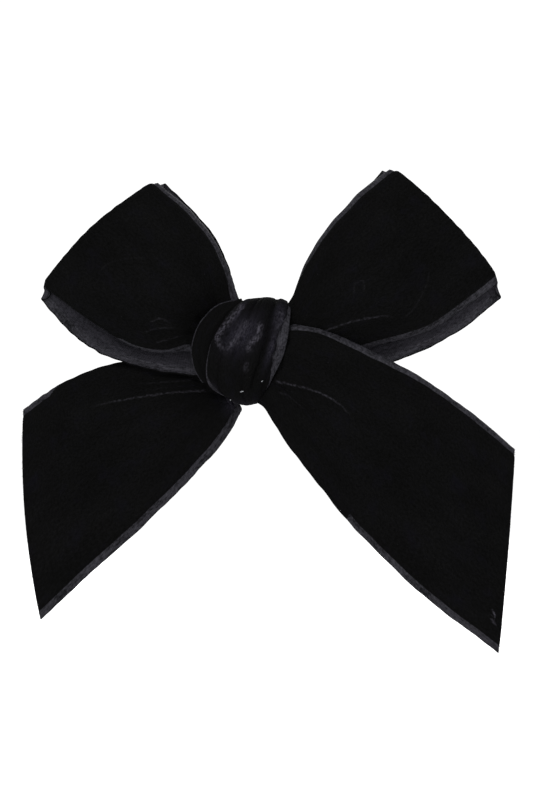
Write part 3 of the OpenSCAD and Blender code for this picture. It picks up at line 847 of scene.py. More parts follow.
def fibres(name, edges, longest, seed, material):
    """Fine fibre ends along edges, tapered and bent at random. An edge is its front points, its
    back points, the way out and the number of fibres."""
    rng = np.random.default_rng(seed)
    points, faces = [], []
    sides, rings = 3, 4
    fibre_faces = ring_faces(rings, sides)
    for upper, lower, ahead, count in edges:
        for _ in range(count):
            j = rng.uniform(0, len(upper) - 1.001)
            k, t = int(j), j - int(j)
            depth = rng.uniform(0, 1)
            base = (upper[k] * (1 - t) + upper[k + 1] * t) * depth
            base = base + (lower[k] * (1 - t) + lower[k + 1] * t) * (1 - depth)
            out = unit(ahead[k] + rng.normal(0, FIBRE_STRAY, 3))
            bend = rng.normal(0, FIBRE_BEND, 3)
            length = longest * rng.uniform(0.25, 1.0) ** 1.5
            first = unit(np.cross(out, [0.3, 0.9, 0.2]))
            second = np.cross(out, first)
            start = len(points)
            for r in range(rings):
                f = r / (rings - 1)
                centre = base - 0.1 * out + out * length * f + bend * length * f * f
                radius = FIBRE_R * (1 - 0.75 * f)
                for s in range(sides):
                    w = 2 * math.pi * s / sides
                    points.append(centre + radius * (math.cos(w) * first + math.sin(w) * second))
            faces += [tuple(start + k for k in face) for face in fibre_faces]
    return mesh_piece(name, points, faces, [material], uvs=[(p[0], p[2]) for p in points])


def crease_fringe(faces_of, fold_row, count):
    """The outermost line of a loop's crease, for the pile that stands out from it."""
    edge, below = (face[fold_row, N_EDGE + 1:-N_EDGE - 1] for face in faces_of)
    return edge, edge * 0.7 + below * 0.3, unit(edge - below), count


def cut_end(faces_of, count):
    """The cut end of a ribbon, for its fibres."""
    upper, lower = faces_of
    return upper[-1], lower[-1], unit(upper[-1] - upper[-2]), count


# Folds: place across at the knot and at the far end, width, height, and how far along they reach
LEFT_LOOP_FOLDS = [
    (0.72, 0.66, 0.05, 0.55, 0.42), (0.84, 0.86, 0.045, -0.45, 0.35),
    (0.58, 0.52, 0.05, -0.45, 0.45), (0.40, 0.36, 0.07, 0.5, 0.35),
    (0.22, 0.2, 0.06, -0.4, 0.3),
]
RIGHT_LOOP_FOLDS = [
    (0.74, 0.86, 0.05, -0.5, 0.5), (0.52, 0.58, 0.06, -0.5, 0.45),
    (0.34, 0.30, 0.07, 0.5, 0.4), (0.18, 0.16, 0.05, -0.4, 0.3),
]
BACK_FOLDS = [
    (0.3, 0.25, 0.06, 0.5, 0.4), (0.5, 0.5, 0.06, -0.5, 0.4),
    (0.7, 0.74, 0.06, 0.5, 0.4),
]
LEFT_TAIL_FOLDS = [
    (0.28, 0.10, 0.045, -0.4, 0.5),
    (0.52, 0.40, 0.05, -0.6, 0.5), (0.66, 0.55, 0.05, 0.6, 0.45),
    (0.80, 0.72, 0.045, -0.5, 0.35), (0.16, 0.05, 0.05, 0.5, 0.4),
]
RIGHT_TAIL_FOLDS = [
    (0.70, 0.62, 0.04, -0.6, 0.45),
    (0.50, 0.40, 0.05, -0.5, 0.45), (0.34, 0.28, 0.06, 0.55, 0.45),
    (0.20, 0.18, 0.05, -0.4, 0.35), (0.84, 0.80, 0.045, 0.5, 0.35),
]
# How much of a selvedge lies inside the edge of a run, upper then lower, and how many degrees it
# curls away from the pile; lists give (how far along, value).
LEFT_INSET = ([(0.1, 0), (0.3, 0.22), (0.8, 0.22), (1, 0.9)], [(0.42, 0), (0.6, 1)])
LEFT_CURL = (
    [(0, 60), (0.3, 58), (0.75, 60), (1, 105)],
    [(0, 70), (0.36, 85), (0.5, 122), (0.7, 166)])
RIGHT_INSET = (
    [(0, 0.2), (0.2, 0), (0.4, 0.3), (0.8, 0.35), (1, 0.9)], [(0.75, 0), (1, 0.9)])
RIGHT_CURL = (
    [(0, 165), (0.15, 125), (0.38, 54), (0.8, 52), (1, 98)],
    [(0, 55), (0.3, 26), (0.8, 20), (1, 36)])
BACK_INSET, BACK_CURL = (1, 1), (25, 20)
# Fold lines as [x, z] points, how bright the painted highlight on their pressed pile is, and the
# ridge's height and width
LEFT_LOOP_CRESTS = [
    ([[-21.2, 7.2], [-18.8, 8], [-16.4, 6.6]], 0.20, 0.2, 0.7),
    ([[-22.5, 5], [-19, 5.9], [-15.2, 5.8]], 0.15, 0.2, 0.7),
    ([[-20, 2.6], [-16.6, 3.6], [-13.2, 4.4]], 0.14, 0.2, 0.7),
    ([[-33, 17.4], [-30.5, 20], [-25, 21.2], [-18, 21]], 0.04, 0.1, 1),
]
RIGHT_LOOP_CRESTS = [
    ([[17.6, 5], [21.4, 6.4], [25, 7.5], [28.4, 8.2], [32, 8.6], [34.4, 8]], 0.36, 0.45, 1),
    ([[36.6, 8.2], [38.8, 10.4], [40.4, 13.2], [41.8, 16.6], [42, 20.5]], 0.075, 0.2, 0.9),
    ([[25, 13.2], [25.4, 15.6], [27, 16.2], [27.4, 14.4], [26.8, 13.6]], 0.10, 0.1, 0.6),
]
LEFT_TAIL_CRESTS = [
    ([[-8.4, -8.6], [-15, -9.1], [-22.5, -10.1], [-29.6, -11.3], [-35.4, -12.6]], 0.30, 0.5, 1),
    ([[-9, -6.3], [-13, -6.6], [-19, -7], [-25, -7.4]], 0.10, 0.3, 0.8),
]
RIGHT_TAIL_CRESTS = [
    ([[7.6, -6.4], [10.8, -7.4], [16.1, -8.9], [20.9, -11.3], [25.6, -15.6]], 0.44, 0.5, 0.9),
    ([[7.8, -9.2], [11, -10.6], [14.4, -13.4]], 0.10, 0.3, 0.8),
    ([[56.7, -58.8], [57.2, -59.6], [57.5, -60.2], [57.3, -60.9]], 1, 0.1, 0.5),
    ([[56.3, -60.8], [56.7, -61.4], [57.2, -61.8], [57.8, -62.6]], 0.8, 0.1, 0.5),
]
LEFT_TAIL_CURL = (
    [(0.50, 166), (0.62, 143), (0.74, 120), (0.86, 99), (1, 84)],
    [(0, 60), (0.2, 30), (1, 20)])
TORN_AT = 0.53
RIGHT_TAIL_CURL = (
    [(0, 70), (0.12, 108), (0.2, 114), (0.3, 90), (0.45, 88), (0.6, 96), (1, 98)],
    [(TORN_AT, 172), (TORN_AT + 0.015, 70), (1, 40)])


def make_loop(name, front, front_tuck, back, back_tuck, side, folds, inset, curl, seed, crests):
    front_rows = strip_grid(front_tuck, front, side, folds, inset, curl)
    back_rows = strip_grid(back_tuck, back, side, BACK_FOLDS, BACK_INSET, BACK_CURL, lift=-1)
    piece, length, both = ribbon_sheet(
        name + "_ribbon", loop_grid(front_rows, back_rows, side), side, 0.16, seed,
        crests=crests, crest_rows=len(front_rows))
    middle = len(front_rows) + FOLD_ROWS // 2
    edges = [crease_fringe(both, middle + k, 300) for k in (-3, -1, 1, 3)]
    return piece, length, fibres(name + "_pile", edges, 0.30, seed + 1, velvet)


left_loop, left_loop_length, left_pile = make_loop(
    "left_loop", LEFT_FRONT, LEFT_FRONT_TUCK, LEFT_BACK, LEFT_BACK_TUCK, TO_LEFT, LEFT_LOOP_FOLDS,
    LEFT_INSET, LEFT_CURL, 11, LEFT_LOOP_CRESTS)
right_loop, right_loop_length, right_pile = make_loop(
    "right_loop", RIGHT_FRONT, RIGHT_FRONT_TUCK, RIGHT_BACK, RIGHT_BACK_TUCK, TO_RIGHT, RIGHT_LOOP_FOLDS,
    RIGHT_INSET, RIGHT_CURL, 23, RIGHT_LOOP_CRESTS)

# How far the pile wears along the tails' cut ends, shown there as painted sheen
CUT_WEAR_SHEEN = 0.45
# Both tails get painted sheen along their cut ends, and the left one also gets a patch of painted sheen by
# the knot.
left_rows = strip_grid(LEFT_TAIL_TUCK, LEFT_TAIL, TO_LEFT, LEFT_TAIL_FOLDS, (1, 1), LEFT_TAIL_CURL)
left_tail, left_tail_length, left_faces = ribbon_sheet(
    "left_tail_ribbon", left_rows, TO_LEFT, 0.2, 37, crests=LEFT_TAIL_CRESTS,
    patches=[(-2.4, -12.0, 2.4, 0.8)], end_wear_sheen=CUT_WEAR_SHEEN)
right_rows = strip_grid(RIGHT_TAIL_TUCK, RIGHT_TAIL, TO_RIGHT, RIGHT_TAIL_FOLDS, (1, 1), RIGHT_TAIL_CURL)
right_tail, right_tail_length, right_faces = ribbon_sheet(
    "right_tail_ribbon", right_rows, TO_RIGHT, 0.2, 53, crests=RIGHT_TAIL_CRESTS, end_wear_sheen=CUT_WEAR_SHEEN)


def torn_edge(faces_of, curls, count):
    """The place on a lower edge where a rolled selvedge opens out and its threads stand free."""
    upper, lower = faces_of
    opened = next(i for i, row in enumerate(curls) if i > len(curls) // 3 and row[3][1] < ROLLED)
    near = slice(opened - 2, opened + 3)
    out = unit(upper[near, -1] - upper[near, -12])
    return upper[near, -1], lower[near, -1], out, count


left_fibres = fibres("left_tail_fibres", [cut_end(left_faces, 520)], 0.40, 71, fray)
right_fibres = fibres(
    "right_tail_fibres", [cut_end(right_faces, 620), torn_edge(right_faces, right_rows, 60)], 0.42, 73, fray)


# ---------------------------------------------------------------- knot
KNOT_D, KNOT_H, KNOT_MID_Z = 16.2, 24.8, 0.2
# How far the outer turn's edges lie below its middle, and how much deeper it is behind
WRAP_EDGE_DROP, KNOT_BEHIND = 1.2, 0.9
# Left and right edge of the outer turn at every eighth of the way round, from the front over the top
WRAP_EDGES = [
    [-7.9, 9.4], [-4.1, 10.6], [-1.0, 10.7], [-5, 10], [-7, 8], [-6, 6], [-2.6, 4.4], [-8.0, 6.0]
]
WRAP_ROWS = 220
# The outer turn's cloth: its length, the width its weave is drawn over, and its width laid flat
WRAP_LONG, WRAP_WEAVE_WIDE, WRAP_WIDE = 67.0, 19, 21
# Creases in the outer turn: place across at the front, lean per degree, width, depth, from and to in degrees
CREASES = [
    (0.35, 0.0006, 0.034, 0.70, -18, 96), (0.70, 0.0004, 0.036, 0.95, -58, 100),
    (0.20, 0.0005, 0.028, 0.40, -82, 14), (0.52, -0.0006, 0.030, 0.40, -78, 2),
    (0.88, -0.0002, 0.020, 0.35, -60, 70), (0.45, 0.0008, 0.022, 0.30, 20, 80),
    (0.26, 0, 0.03, 0.9, 100, 260), (0.50, 0, 0.03, 1, 110, 250), (0.74, 0, 0.03, 0.9, 100, 265),
]
# Ridges between them: place across, lean, width, height, from and to
RIDGES = [
    (0.13, 0.0006, 0.09, 0.35, -20, 100), (0.54, 0.0004, 0.11, 0.45, -30, 90),
    (0.80, 0.0002, 0.07, 0.4, 0, 100), (0.32, 0, 0.09, 0.35, -90, -10), (0.66, 0, 0.08, 0.35, -90, -30),
]
# Where the pile is pressed and painted with sheen: degrees, place across, extents, strength
PRESSED_SHEEN_AREAS = [
    (20, 0.37, 22, 0.22, 0.75), (42, 0.82, 26, 0.10, 0.60), (46, 0.18, 26, 0.05, 0.6),
    (-52, 0.10, 12, 0.06, 0.6), (-78, 0.45, 14, 0.35, 0.35), (5, 0.815, 22, 0.05, 0.7),
]
# Fold lines on the knot and how bright their painted highlights are; they are KNOT_CREST_WIDER
# times as wide as others
KNOT_CRESTS = [
    (line, bright, 0, 0.5) for line, bright in (
        ([[0.3, 11.2], [-2.2, 8.4], [-4.6, 5.4], [-5.9, 3.4], [-5.2, 1.4], [-3.2, -1.4]], 0.85),
        ([[0.9, 7.4], [-0.8, 4.2], [-2, 2.3], [-3.3, 1.1], [-2.2, 0.1]], 0.85),
        ([[4.4, 6.5], [3.4, 5.3], [3.5, 3.9], [2.4, 2.6], [1.4, 1.6], [1.3, 0.5], [2.5, 0.6]], 0.95),
        ([[8.2, 9.4], [8.7, 7.4], [7.9, 5.6], [7.6, 3.4]], 0.45),
        ([[1, -2.4], [0.4, -3.6], [0.8, -4.9]], 0.3),
    )
]
KNOT_CREST_WIDER = 3.0
# Width of each selvedge round the knot in millimetres, as (degrees, width)
LEFT_BAND = [
    (-90, 0.5), (-72, 1.2), (-60, 1.5), (-48, 1.4), (-40, 0.7), (-33, 0.33), (-20, 0.26), (0, 0.2),
    (12, 0.02), (270, 0.02)]
RIGHT_BAND = [
    (-90, 0.25), (-38, 0.5), (-27, 1.1), (-12, 2.1), (8, 2.3), (25, 1.9), (48, 0.75), (70, 0.5), (270, 0.5)]


def wrapped(degrees):
    """An angle brought into -90 to 270, so that the front is around 0."""
    return (degrees + 90) % 360 - 90


def wrap_point(degrees, v, below):
    """The outer turn at an angle round it, a fraction across it, and a depth below its face."""
    u = (degrees % 360) / 360
    left = round_spline([e[0] for e in WRAP_EDGES], u)
    right = round_spline([e[1] for e in WRAP_EDGES], u)
    turn = np.radians(degrees)
    sunk = below + WRAP_EDGE_DROP * (2 * v - 1) ** 2
    r = np.where(np.cos(turn) > 0, KNOT_D / 2, KNOT_D / 2 + KNOT_BEHIND)
    depth = KNOT_D / 2 + (r - sunk) * np.cos(turn)
    return np.stack([
        left + (right - left) * v,
        np.maximum(depth, np.maximum(below, 0.0)),
        KNOT_MID_Z + (KNOT_H / 2 - sunk) * np.sin(turn)
    ], -1)


def wrap_relief(degrees, v):
    """How far the outer turn's face stands out at each place, in millimetres."""
    a = wrapped(degrees)
    height = 0 * v
    for centre, lean, width, depth, start, stop in CREASES:
        strength = smooth((a - start) / 18) * smooth((stop - a) / 18)
        height = height - depth * strength * np.exp(-np.abs((v - centre - lean * a) / width) ** 1.5)
    for centre, lean, width, tall, start, stop in RIDGES:
        strength = smooth((a - start) / 30) * smooth((stop - a) / 30)
        height = height + tall * strength * np.exp(-((v - centre - lean * a) / width) ** 2)
    return height


# Where the points across a selvedge lie, from its outer edge, which is 1, towards the pile
BAND_STEPS = np.array([[1.0, 0.8, 0.55, 0.3, 0.1]])
# How uneven the outer turn's pile is, in waves and in tufts; how far its selvedges and its rim lie
# below the pile; and how far its inside lies below its face, all in millimetres
WRAP_UNEVEN, WRAP_TUFT, BAND_SUNK, RIM_SUNK, WRAP_THICK = 0.10, 0.03, 0.42, 0.15, 0.85


def wrap_across(a, width):
    """The places of the outer turn's points, as fractions across it, and its share of full pile."""
    left, right = (np.interp(a, *zip(*band)) / width for band in (LEFT_BAND, RIGHT_BAND))
    right = right * (1 + 0.14 * wave_noise(a / 2.0, 0 * a, 15))
    inner = np.linspace(0, 1, 96)[None, :]
    pile = np.concatenate([0 * BAND_STEPS, both_ends(inner, 0.025), 0 * BAND_STEPS], 1)
    return np.concatenate([
        left * (1 - BAND_STEPS), left + (1 - left - right) * inner, 1 - right * (1 - BAND_STEPS[:, ::-1])
    ], 1), pile


def wrap_marks(a, v, face):
    """Where the outer turn's pile is pressed and painted with sheen, and the strength of the painted
    highlight on its fold lines and the distance from them.
    """
    crush = 0 * v
    for spot, across, long, wide, amount in PRESSED_SHEEN_AREAS:
        away = ((a - spot) / long) ** 2 + ((v - across - 0.0004 * a) / wide) ** 2
        crush = np.maximum(crush, amount * np.exp(-away))
    gap, strength, _ = crest_marks(face[..., 0], face[..., 2], KNOT_CRESTS, reach=0.9)
    # The painted highlights on the fold lines are kept to the front half of the turn.
    facing = np.abs(a + 0 * v) < 85
    return crush, strength * facing, np.where(facing, gap / KNOT_CREST_WIDER, FAR_GAP)


def closed(grid):
    """The first row is repeated at the seam, so that the cloth coordinates run on without a jump."""
    return np.concatenate([grid, grid[:1]])


def make_wrap():
    degrees = np.linspace(0, 360, WRAP_ROWS, endpoint=False)[:, None]
    a = wrapped(degrees)
    width = round_spline([right - left for left, right in WRAP_EDGES], degrees[:, 0] / 360)[:, None]
    v, pile = wrap_across(a, width)
    rim = np.zeros_like(v)
    rim[:, [0, -1]] = 1
    cloth_u = degrees / 360 * WRAP_LONG + 0 * v
    cloth_v = v * WRAP_WEAVE_WIDE
    uneven = WRAP_UNEVEN * wave_noise(cloth_u / 2.2, cloth_v / 1.4, 5)
    out = wrap_relief(degrees, v) + uneven * pile - BAND_SUNK * (1 - pile) - RIM_SUNK * rim
    fine = WRAP_TUFT * wave_noise(cloth_u * 2.1, cloth_v * 2.1, 6)
    outer = place(closed(wrap_point(degrees, v, -out - fine * pile)))
    inside = place(closed(wrap_point(degrees, v, WRAP_THICK - np.minimum(out, 0.3))))
    rows, cols = outer.shape[:2]
    front_slots = np.full(cols - 1, VELVET)
    band = BAND_STEPS.size
    front_slots[:band] = front_slots[-band:] = SELVEDGE
    faces, slots = shell_faces(rows, cols, front_slots, np.full(cols - 1, SATIN), SELVEDGE)
    seam_ends = 2 * (cols - 1)
    cloth_u = np.concatenate([cloth_u, cloth_u[:1] + WRAP_LONG])
    uv = np.stack([cloth_u, closed(cloth_v)], -1).reshape(-1, 2)
    points = np.concatenate([outer.reshape(-1, 3), inside.reshape(-1, 3)])
    piece = mesh_piece("knot_wrap_ribbon", points, faces[:-seam_ends], CLOTH, slots[:-seam_ends],
                       np.concatenate([uv, uv]))
    crush, crest, gap = (closed(marks) for marks in wrap_marks(a, v, outer[:-1]))
    mark(piece, crush=crush, crest=crest, crest_gap=gap)
    clean(piece.data, merge=1e-7)
    return piece


knot_wrap = make_wrap()

UNDER_FOLDS = [(0.45, 0.45, 0.1, 0.25, 0.9), (0.25, 0.3, 0.05, -0.3, 1.0)]
under_rows = strip_grid(None, UNDER_TURN, TO_LEFT, UNDER_FOLDS, (1, 1), (35, 10))
knot_under, _, _ = ribbon_sheet(
    "knot_underturn_ribbon", under_rows, TO_LEFT, 0.06, 91, wide=(0.6, 0.4), pile=0.4)

# The gathered ribbon inside the knot
CORE_FROM, CORE_TO, CORE_RD, CORE_RZ, CORE_PLEATS = -4.8, 8.0, 5.5, 9.0, 9
CORE_SIDES, CORE_RINGS = 288, 64
# The gathers spread at the knot's two mouths: how far past the middle part, how full they are
# there, and how far towards the back they lie
MOUTH, MOUTH_FULL, MOUTH_BACK = 1.3, 0.98, 0.8
THREAD_X, THREAD_TURNS, THREAD_PITCH, THREAD_CLEAR, THREAD_R = 2.0, 3, 0.9, 0.85, 0.3


def core_swell(x):
    t = (x - CORE_FROM) / (CORE_TO - CORE_FROM)
    return 0.62 + 0.38 * np.sin(np.pi * t) - 0.07 * np.exp(-((x - THREAD_X) / 1.8) ** 2)


def make_core():
    x = np.linspace(CORE_FROM - MOUTH, CORE_TO + MOUTH, CORE_RINGS)[:, None]
    a = np.linspace(0, 2 * math.pi, CORE_SIDES, endpoint=False)[None, :]
    spread = smooth(np.maximum(x - CORE_TO + 1.2, CORE_FROM + 1.2 - x) / (MOUTH + 1.2))
    swell = core_swell(np.clip(x, CORE_FROM, CORE_TO)) * (1 - spread) + MOUTH_FULL * spread
    pleat = 1 + 0.045 * np.cos(CORE_PLEATS * a + 0.06 * x) + 0.018 * np.cos(4 * CORE_PLEATS * a + 0.1 * x)
    pleat = pleat + 0.008 * wave_noise(9 * np.cos(a) + x, 9 * np.sin(a), 8)
    points = place(np.stack([
        x + 0 * a,
        KNOT_D / 2 - MOUTH_BACK * spread + (CORE_RD + 0.5 * spread) * swell * pleat * np.cos(a),
        KNOT_MID_Z + CORE_RZ * swell * pleat * np.sin(a)
    ], -1))
    ends = points[[0, -1]].mean(1)
    points = np.concatenate([points.reshape(-1, 3), ends])
    faces = ring_faces(CORE_RINGS, CORE_SIDES, capped=False)
    for end, ring in enumerate((0, CORE_RINGS - 1)):
        first, centre = ring * CORE_SIDES, CORE_RINGS * CORE_SIDES + end
        faces += [(centre, first + s, first + (s + 1) % CORE_SIDES) for s in range(CORE_SIDES)]
    around = np.append(np.tile(a[0] * 7, CORE_RINGS), [0, 0])
    lengthways = np.append(np.repeat(x[:, 0], CORE_SIDES), x[[0, -1], 0])
    return mesh_piece("ribbon_core_gathers", points, faces, [satin], uvs=np.stack([lengthways, around], 1))


core = make_core()


def make_thread():
    steps = np.arange(THREAD_TURNS * 96 + 1) / 96
    a = 2 * math.pi * steps
    swell = core_swell(THREAD_X)
    path = place(np.stack([
        THREAD_X + THREAD_PITCH * (steps - THREAD_TURNS / 2),
        KNOT_D / 2 + (CORE_RD * swell + THREAD_CLEAR) * np.cos(a),
        KNOT_MID_Z + (CORE_RZ * swell + THREAD_CLEAR) * np.sin(a)
    ], -1))
    return tube("binding_thread_twist", path, THREAD_R, 14, [thread_black], (1, 0, 0), twist=0.45)


thread = make_thread()

# Stitches: degrees round the knot, place across, half its reach, and the share that shows
STITCHES = [(-35.5, 0.84, 0.5, 0.12), (-49.5, 0.54, 1.2, 0.45), (-65.5, 0.24, 0.6, 0.18)]
STITCH_R, STITCH_BITE = 0.10, 0.7


def make_stitches():
    made = []
    for k, (degrees, v, half, shown) in enumerate(STITCHES):
        t = np.linspace(-1, 1, 33)
        across = v + 0 * t
        at = degrees + 2 * t
        face = wrap_relief(at, across)
        sink = STITCH_BITE * smooth((np.abs(t) - shown * 0.6) / 0.4)
        path = wrap_point(at, across, sink - face - STITCH_R * 0.7)
        path[:, 0] += t * half
        made.append(tube(f"stitch_{k}", place(path), STITCH_R, 12, [nylon], (0, 0, 1)))
    bpy.context.view_layer.update()
    first = made[0]
    with bpy.context.temp_override(
            active_object=first, object=first, selected_objects=made, selected_editable_objects=made):
        bpy.ops.object.join()
    first.name = "knot_stitch_loops"
    return first


stitches = make_stitches()


# ---------------------------------------------------------------- clip
# Angles between faces of the CAD steel: up to the first they are one face and are joined, above the
# second their edge is rounded over, and above the third an edge still shades as one.
SAME_FACE, REAL_EDGE, SHADES_SHARP = (math.radians(angle) for angle in (1.5, 35, 38))


def softened(node, name, material, width_mm=0.12):
    """The CAD solid of a steel part with its edges rounded over, as pressed and tumbled steel is."""
    mesh = frame["nodes"][node].data.copy()
    mesh.name = name
    work = bmesh.new()
    work.from_mesh(mesh)
    bmesh.ops.remove_doubles(work, verts=work.verts, dist=2e-6)
    bmesh.ops.dissolve_limit(work, angle_limit=SAME_FACE, verts=work.verts, edges=work.edges)
    sharp = [e for e in work.edges if len(e.link_faces) == 2 and e.calc_face_angle(0) > REAL_EDGE]
    bmesh.ops.bevel(
        work, geom=sharp, offset=width_mm * MM, segments=2, profile=0.6, affect="EDGES", clamp_overlap=True)
    bmesh.ops.triangulate(work, faces=[f for f in work.faces if len(f.verts) > 4])
    bmesh.ops.recalc_face_normals(work, faces=work.faces)
    for face in work.faces:
        face.material_index = 0
    work.to_mesh(mesh)
    work.free()
    if mesh.attributes.get("custom_normal"):
        mesh.attributes.remove(mesh.attributes["custom_normal"])
    mesh.materials.clear()
    mesh.materials.append(material)
    mesh.polygons.foreach_set("use_smooth", np.ones(len(mesh.polygons), bool))
    mesh.set_sharp_from_angle(angle=SHADES_SHARP)
    return new_object(name, mesh)


front_jaw = softened("clip_front_jaw", "clip_front_jaw_steel", clip_steel)
rear_jaw = softened("clip_rear_jaw", "clip_rear_jaw_steel", clip_steel, 0.08)
pin = softened("hinge_pin", "hinge_pin_steel", clip_steel, 0.1)

HINGE = np.array(next(j for j in frame["joints"] if j["name"] == "jaw_open")["pos_m"]) / MM
COIL_R, COIL_HALF, WIRE_R, SPRING_TURNS = 1.9, 2.1, 0.4, 3.5
# The spring's legs as [x, y], from the front tab to the coil and from the coil to the rear tab
FRONT_LEG = [[26.5, -0.05], [24.2, 0.15], [22, 0.5], [19.5, 0.95]]
REAR_LEG = [[19.2, 5.5], [21.5, 6.0], [23.6, 6.75], [25.5, 7.6], [27, 8.6]]


def make_spring():
    t = np.linspace(0, 1, 240)
    a = np.radians(-90) - 2 * math.pi * SPRING_TURNS * t
    coil = np.stack([
        HINGE[0] + COIL_R * np.cos(a), HINGE[1] + COIL_R * np.sin(a), COIL_HALF * (2 * t - 1)
    ], 1)
    front, rear = (
        spline([[*p, side * COIL_HALF] for p in leg], np.linspace(0, 1, 24))
        for leg, side in ((FRONT_LEG, -1), (REAR_LEG, 1)))
    path = np.concatenate([front, coil, rear])
    return tube("torsion_spring_wire", path, WIRE_R, 16, [spring_steel], (0, 0, 1))


spring = make_spring()

CLIP_TIP, CLIP_W, STEEL_T, LINER_T = 17.0, 9.0, 0.8, 0.5
TIP_R, TIP_TAPER = 3.5, 8.0
LINER_INNER_END, LINER_OUTER_END = 11.0, 29.0
RIB_HEIGHT, RIB_PITCH = 0.045, 0.75


def liner_half(x):
    """Half the width of the jaw's outline at x: a round tip, then a taper to the full width."""
    tip = -CLIP_TIP - LINER_T
    mid = tip + TIP_R
    round_part = np.sqrt(np.maximum(TIP_R**2 - (mid - np.clip(x, tip, mid)) ** 2, 0.0))
    taper = TIP_R + (CLIP_W / 2 - TIP_R) * np.clip((x - mid) / TIP_TAPER, 0, 1)
    return np.where(x < mid, np.maximum(round_part, 0.9), taper)


def make_liner():
    """Grosgrain folded over the front jaw: along its outer face, round the tip, and back inside."""
    fold_r = (STEEL_T + LINER_T) / 2
    mid_y = -LINER_T - STEEL_T / 2
    fold_x = 0.2 - CLIP_TIP
    outer_x = np.linspace(LINER_OUTER_END, fold_x, 240)
    inner_x = np.linspace(fold_x, LINER_INNER_END, 150)
    bend = np.linspace(0, math.pi, 16)[1:-1]
    path = np.concatenate([
        np.stack([outer_x, 0 * outer_x + mid_y - fold_r], 1),
        np.stack([fold_x - fold_r * np.sin(bend) * 0.75, mid_y - fold_r * np.cos(bend)], 1),
        np.stack([inner_x, 0 * inner_x + mid_y + fold_r], 1),
    ])
    length = run_length(path)
    ahead = unit(np.gradient(path, axis=0))
    out = np.stack([-ahead[:, 1], ahead[:, 0]], 1)
    w = np.linspace(-1, 1, 25)
    half = liner_half(path[:, 0])
    rib = RIB_HEIGHT * np.cos(2 * math.pi * length / RIB_PITCH)
    edge = smooth(np.minimum(1, (1 - np.abs(w)) / 0.06))
    thick = LINER_T / 2 * 0.92 * (0.35 + 0.65 * edge)[None, :] + rib[:, None] * edge[None, :]
    across = half[:, None] * w[None, :]
    layers = [
        np.stack([path[:, :1] + out[:, :1] * off, path[:, 1:] + out[:, 1:] * off, across], -1)
        for off in (thick, -thick)]
    rows, cols = layers[0].shape[:2]
    faces, slots = shell_faces(rows, cols, np.zeros(cols - 1, int), np.zeros(cols - 1, int), 0)
    uv = np.stack(np.broadcast_arrays(length[:, None], across), -1).reshape(-1, 2)
    points = np.concatenate([layer.reshape(-1, 3) for layer in layers])
    piece = mesh_piece("clip_liner_grosgrain", points, faces, [grosgrain], slots, np.concatenate([uv, uv]))
    area = float(np.sum((half[1:] + half[:-1]) * np.diff(length)))
    return piece, length[-1], area


liner, liner_length, liner_area = make_liner()


def make_glue():
    """A set bead of glue, pressed out a little unevenly between the lining and the knot."""
    low, high = (np.array(c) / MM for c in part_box("adhesive_pad"))
    middle, half = (low + high) / 2, (high - low) / 2
    sides, rings = 120, 22
    a = np.linspace(0, 2 * math.pi, sides, endpoint=False)
    round_x, round_z = np.cos(a), np.sin(a)
    ragged = 1 + 0.05 * wave_noise(3 * round_x, 3 * round_z, 17)
    ragged = ragged + 0.02 * wave_noise(9 * round_x, 9 * round_z, 18)
    outline = np.stack([
        np.sign(w) * np.abs(w) ** 0.6 * reach for w, reach in ((round_x, half[0]), (round_z, half[2]))
    ], 1)
    points = []
    for i in range(rings):
        t = math.pi * i / (rings - 1)
        r = max(math.sin(t), 1e-4) ** 0.35 if 0 < i < rings - 1 else 0.72
        y = middle[1] - half[1] * math.cos(t)
        ring = outline * (0.9 * r * ragged)[:, None]
        points += [(middle[0] + p[0], y, middle[2] + p[1]) for p in ring]
    return mesh_piece("adhesive_bead", points, ring_faces(rings, sides), [glue])


glue_bead = make_glue()


# ---------------------------------------------------------------- bodies and cloth
def flexed(piece, body):
    """Bakes a ribbon's placement into its mesh. The joint's line and the way from it towards the
    ribbon's body are worked out, but nothing is bent.
    """
    joint = next(j for j in frame["joints"] if j["child"] == body)
    line = Vector(joint["axis"]).normalized()
    centre = Vector(joint["pos_m"])
    low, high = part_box(body)
    away = (low + high) / 2 - centre
    away -= away.dot(line) * line
    away.y = 0
    away.normalize()
    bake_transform(piece)


for piece, body in (
    (left_loop, "left_loop"), (right_loop, "right_loop"),
    (left_tail, "left_tail"), (right_tail, "right_tail"),
):
    flexed(piece, body)
    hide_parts(body)
for piece, body, slot in (
    (left_fibres, "left_tail", "ribbon_back"), (right_fibres, "right_tail", "ribbon_back"),
    (left_pile, "left_loop", "velvet_ribbon"), (right_pile, "right_loop", "velvet_ribbon"),
):
    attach(piece, body)

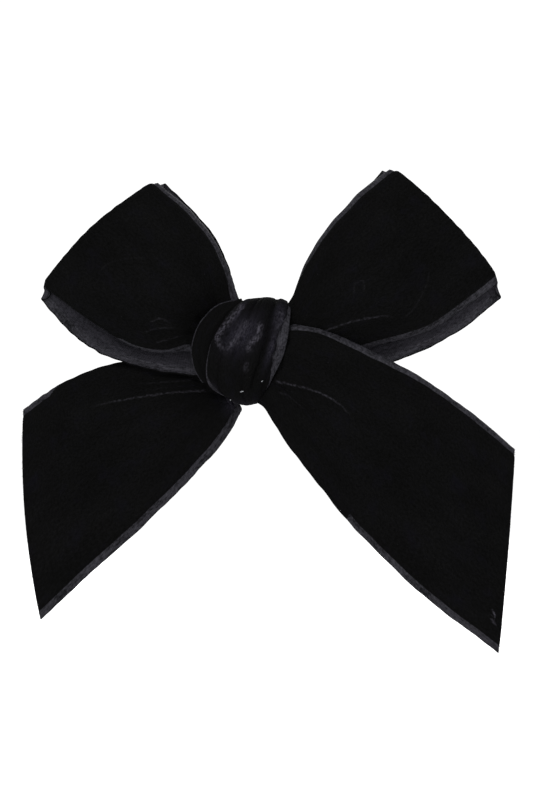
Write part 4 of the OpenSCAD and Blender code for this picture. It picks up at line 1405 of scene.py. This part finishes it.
for piece, body, node, slot in (
    (knot_wrap, "bow_knot", "knot_wrap", "velvet_ribbon"),
    (knot_under, "bow_knot", "knot_underturn", "velvet_ribbon"),
    (core, "bow_knot", "ribbon_core", "ribbon_back"),
    (thread, "bow_knot", "binding_thread", "thread"),
    (stitches, "bow_knot", "knot_stitches", "nylon_stitch"),
    (glue_bead, "bow_knot", "adhesive_pad", "glue_pad"),
    (front_jaw, "bow_knot", "clip_front_jaw", "clip_steel"),
    (pin, "bow_knot", "hinge_pin", "clip_steel"),
    (liner, "bow_knot", "clip_liner", "grosgrain_lining"),
    (rear_jaw, "rear_jaw", "clip_rear_jaw", "clip_steel"),
):
    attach(piece, body)
    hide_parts(node)
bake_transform(spring)
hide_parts("torsion_spring")


# ---------------------------------------------------------------- floor and light
FLOOR_GAP = 10 * MM
FLOOR_REACH = 12.0
STUDIO_STRENGTH = 1.12


def make_floor():
    z = cad_low.z - FLOOR_GAP
    corners = [(x * FLOOR_REACH, y * FLOOR_REACH, z) for x, y in ((-1, -1), (1, -1), (1, 1), (-1, 1))]
    mesh = bpy.data.meshes.new("floor")
    mesh.from_pydata(corners, [], [(0, 1, 2, 3)])
    pale, tree, shader = new_material("pale_floor", Roughness=0.9, Specular_IOR_Level=0.1)
    paper = noise(tree, coordinates(tree, "Object"), 30.0, 3.0, 0.5)
    feed(tree, shader, "Base Color", ramp(tree, paper, [(0.3, grey(0.92)), (0.7, grey(0.95))]))
    mesh.materials.append(pale)
    new_object("floor", mesh)


make_floor()
world = bpy.data.worlds.new("studio")
world.use_nodes = True
background = world.node_tree.nodes["Background"]
background.inputs["Color"].default_value = (1.0, 1.0, 1.0, 1.0)
background.inputs["Strength"].default_value = STUDIO_STRENGTH
scene.world = world


def soft_light(name, place_m, size, watts):
    data = bpy.data.lights.new(name, "AREA")
    data.shape, data.size, data.energy = "DISK", size, watts
    light = new_object(name, data)
    light.location = Vector(place_m)
    aim(light, middle)


soft_light("key", (-0.55, -0.9, 0.75), 0.35, 9.0)
soft_light("fill", (0.9, -0.8, 0.25), 0.6, 4.0)
soft_light("back", (0.1, 0.9, 0.6), 0.6, 6.0)
scene.view_settings.view_transform = "Standard"
scene.view_settings.look = "None"
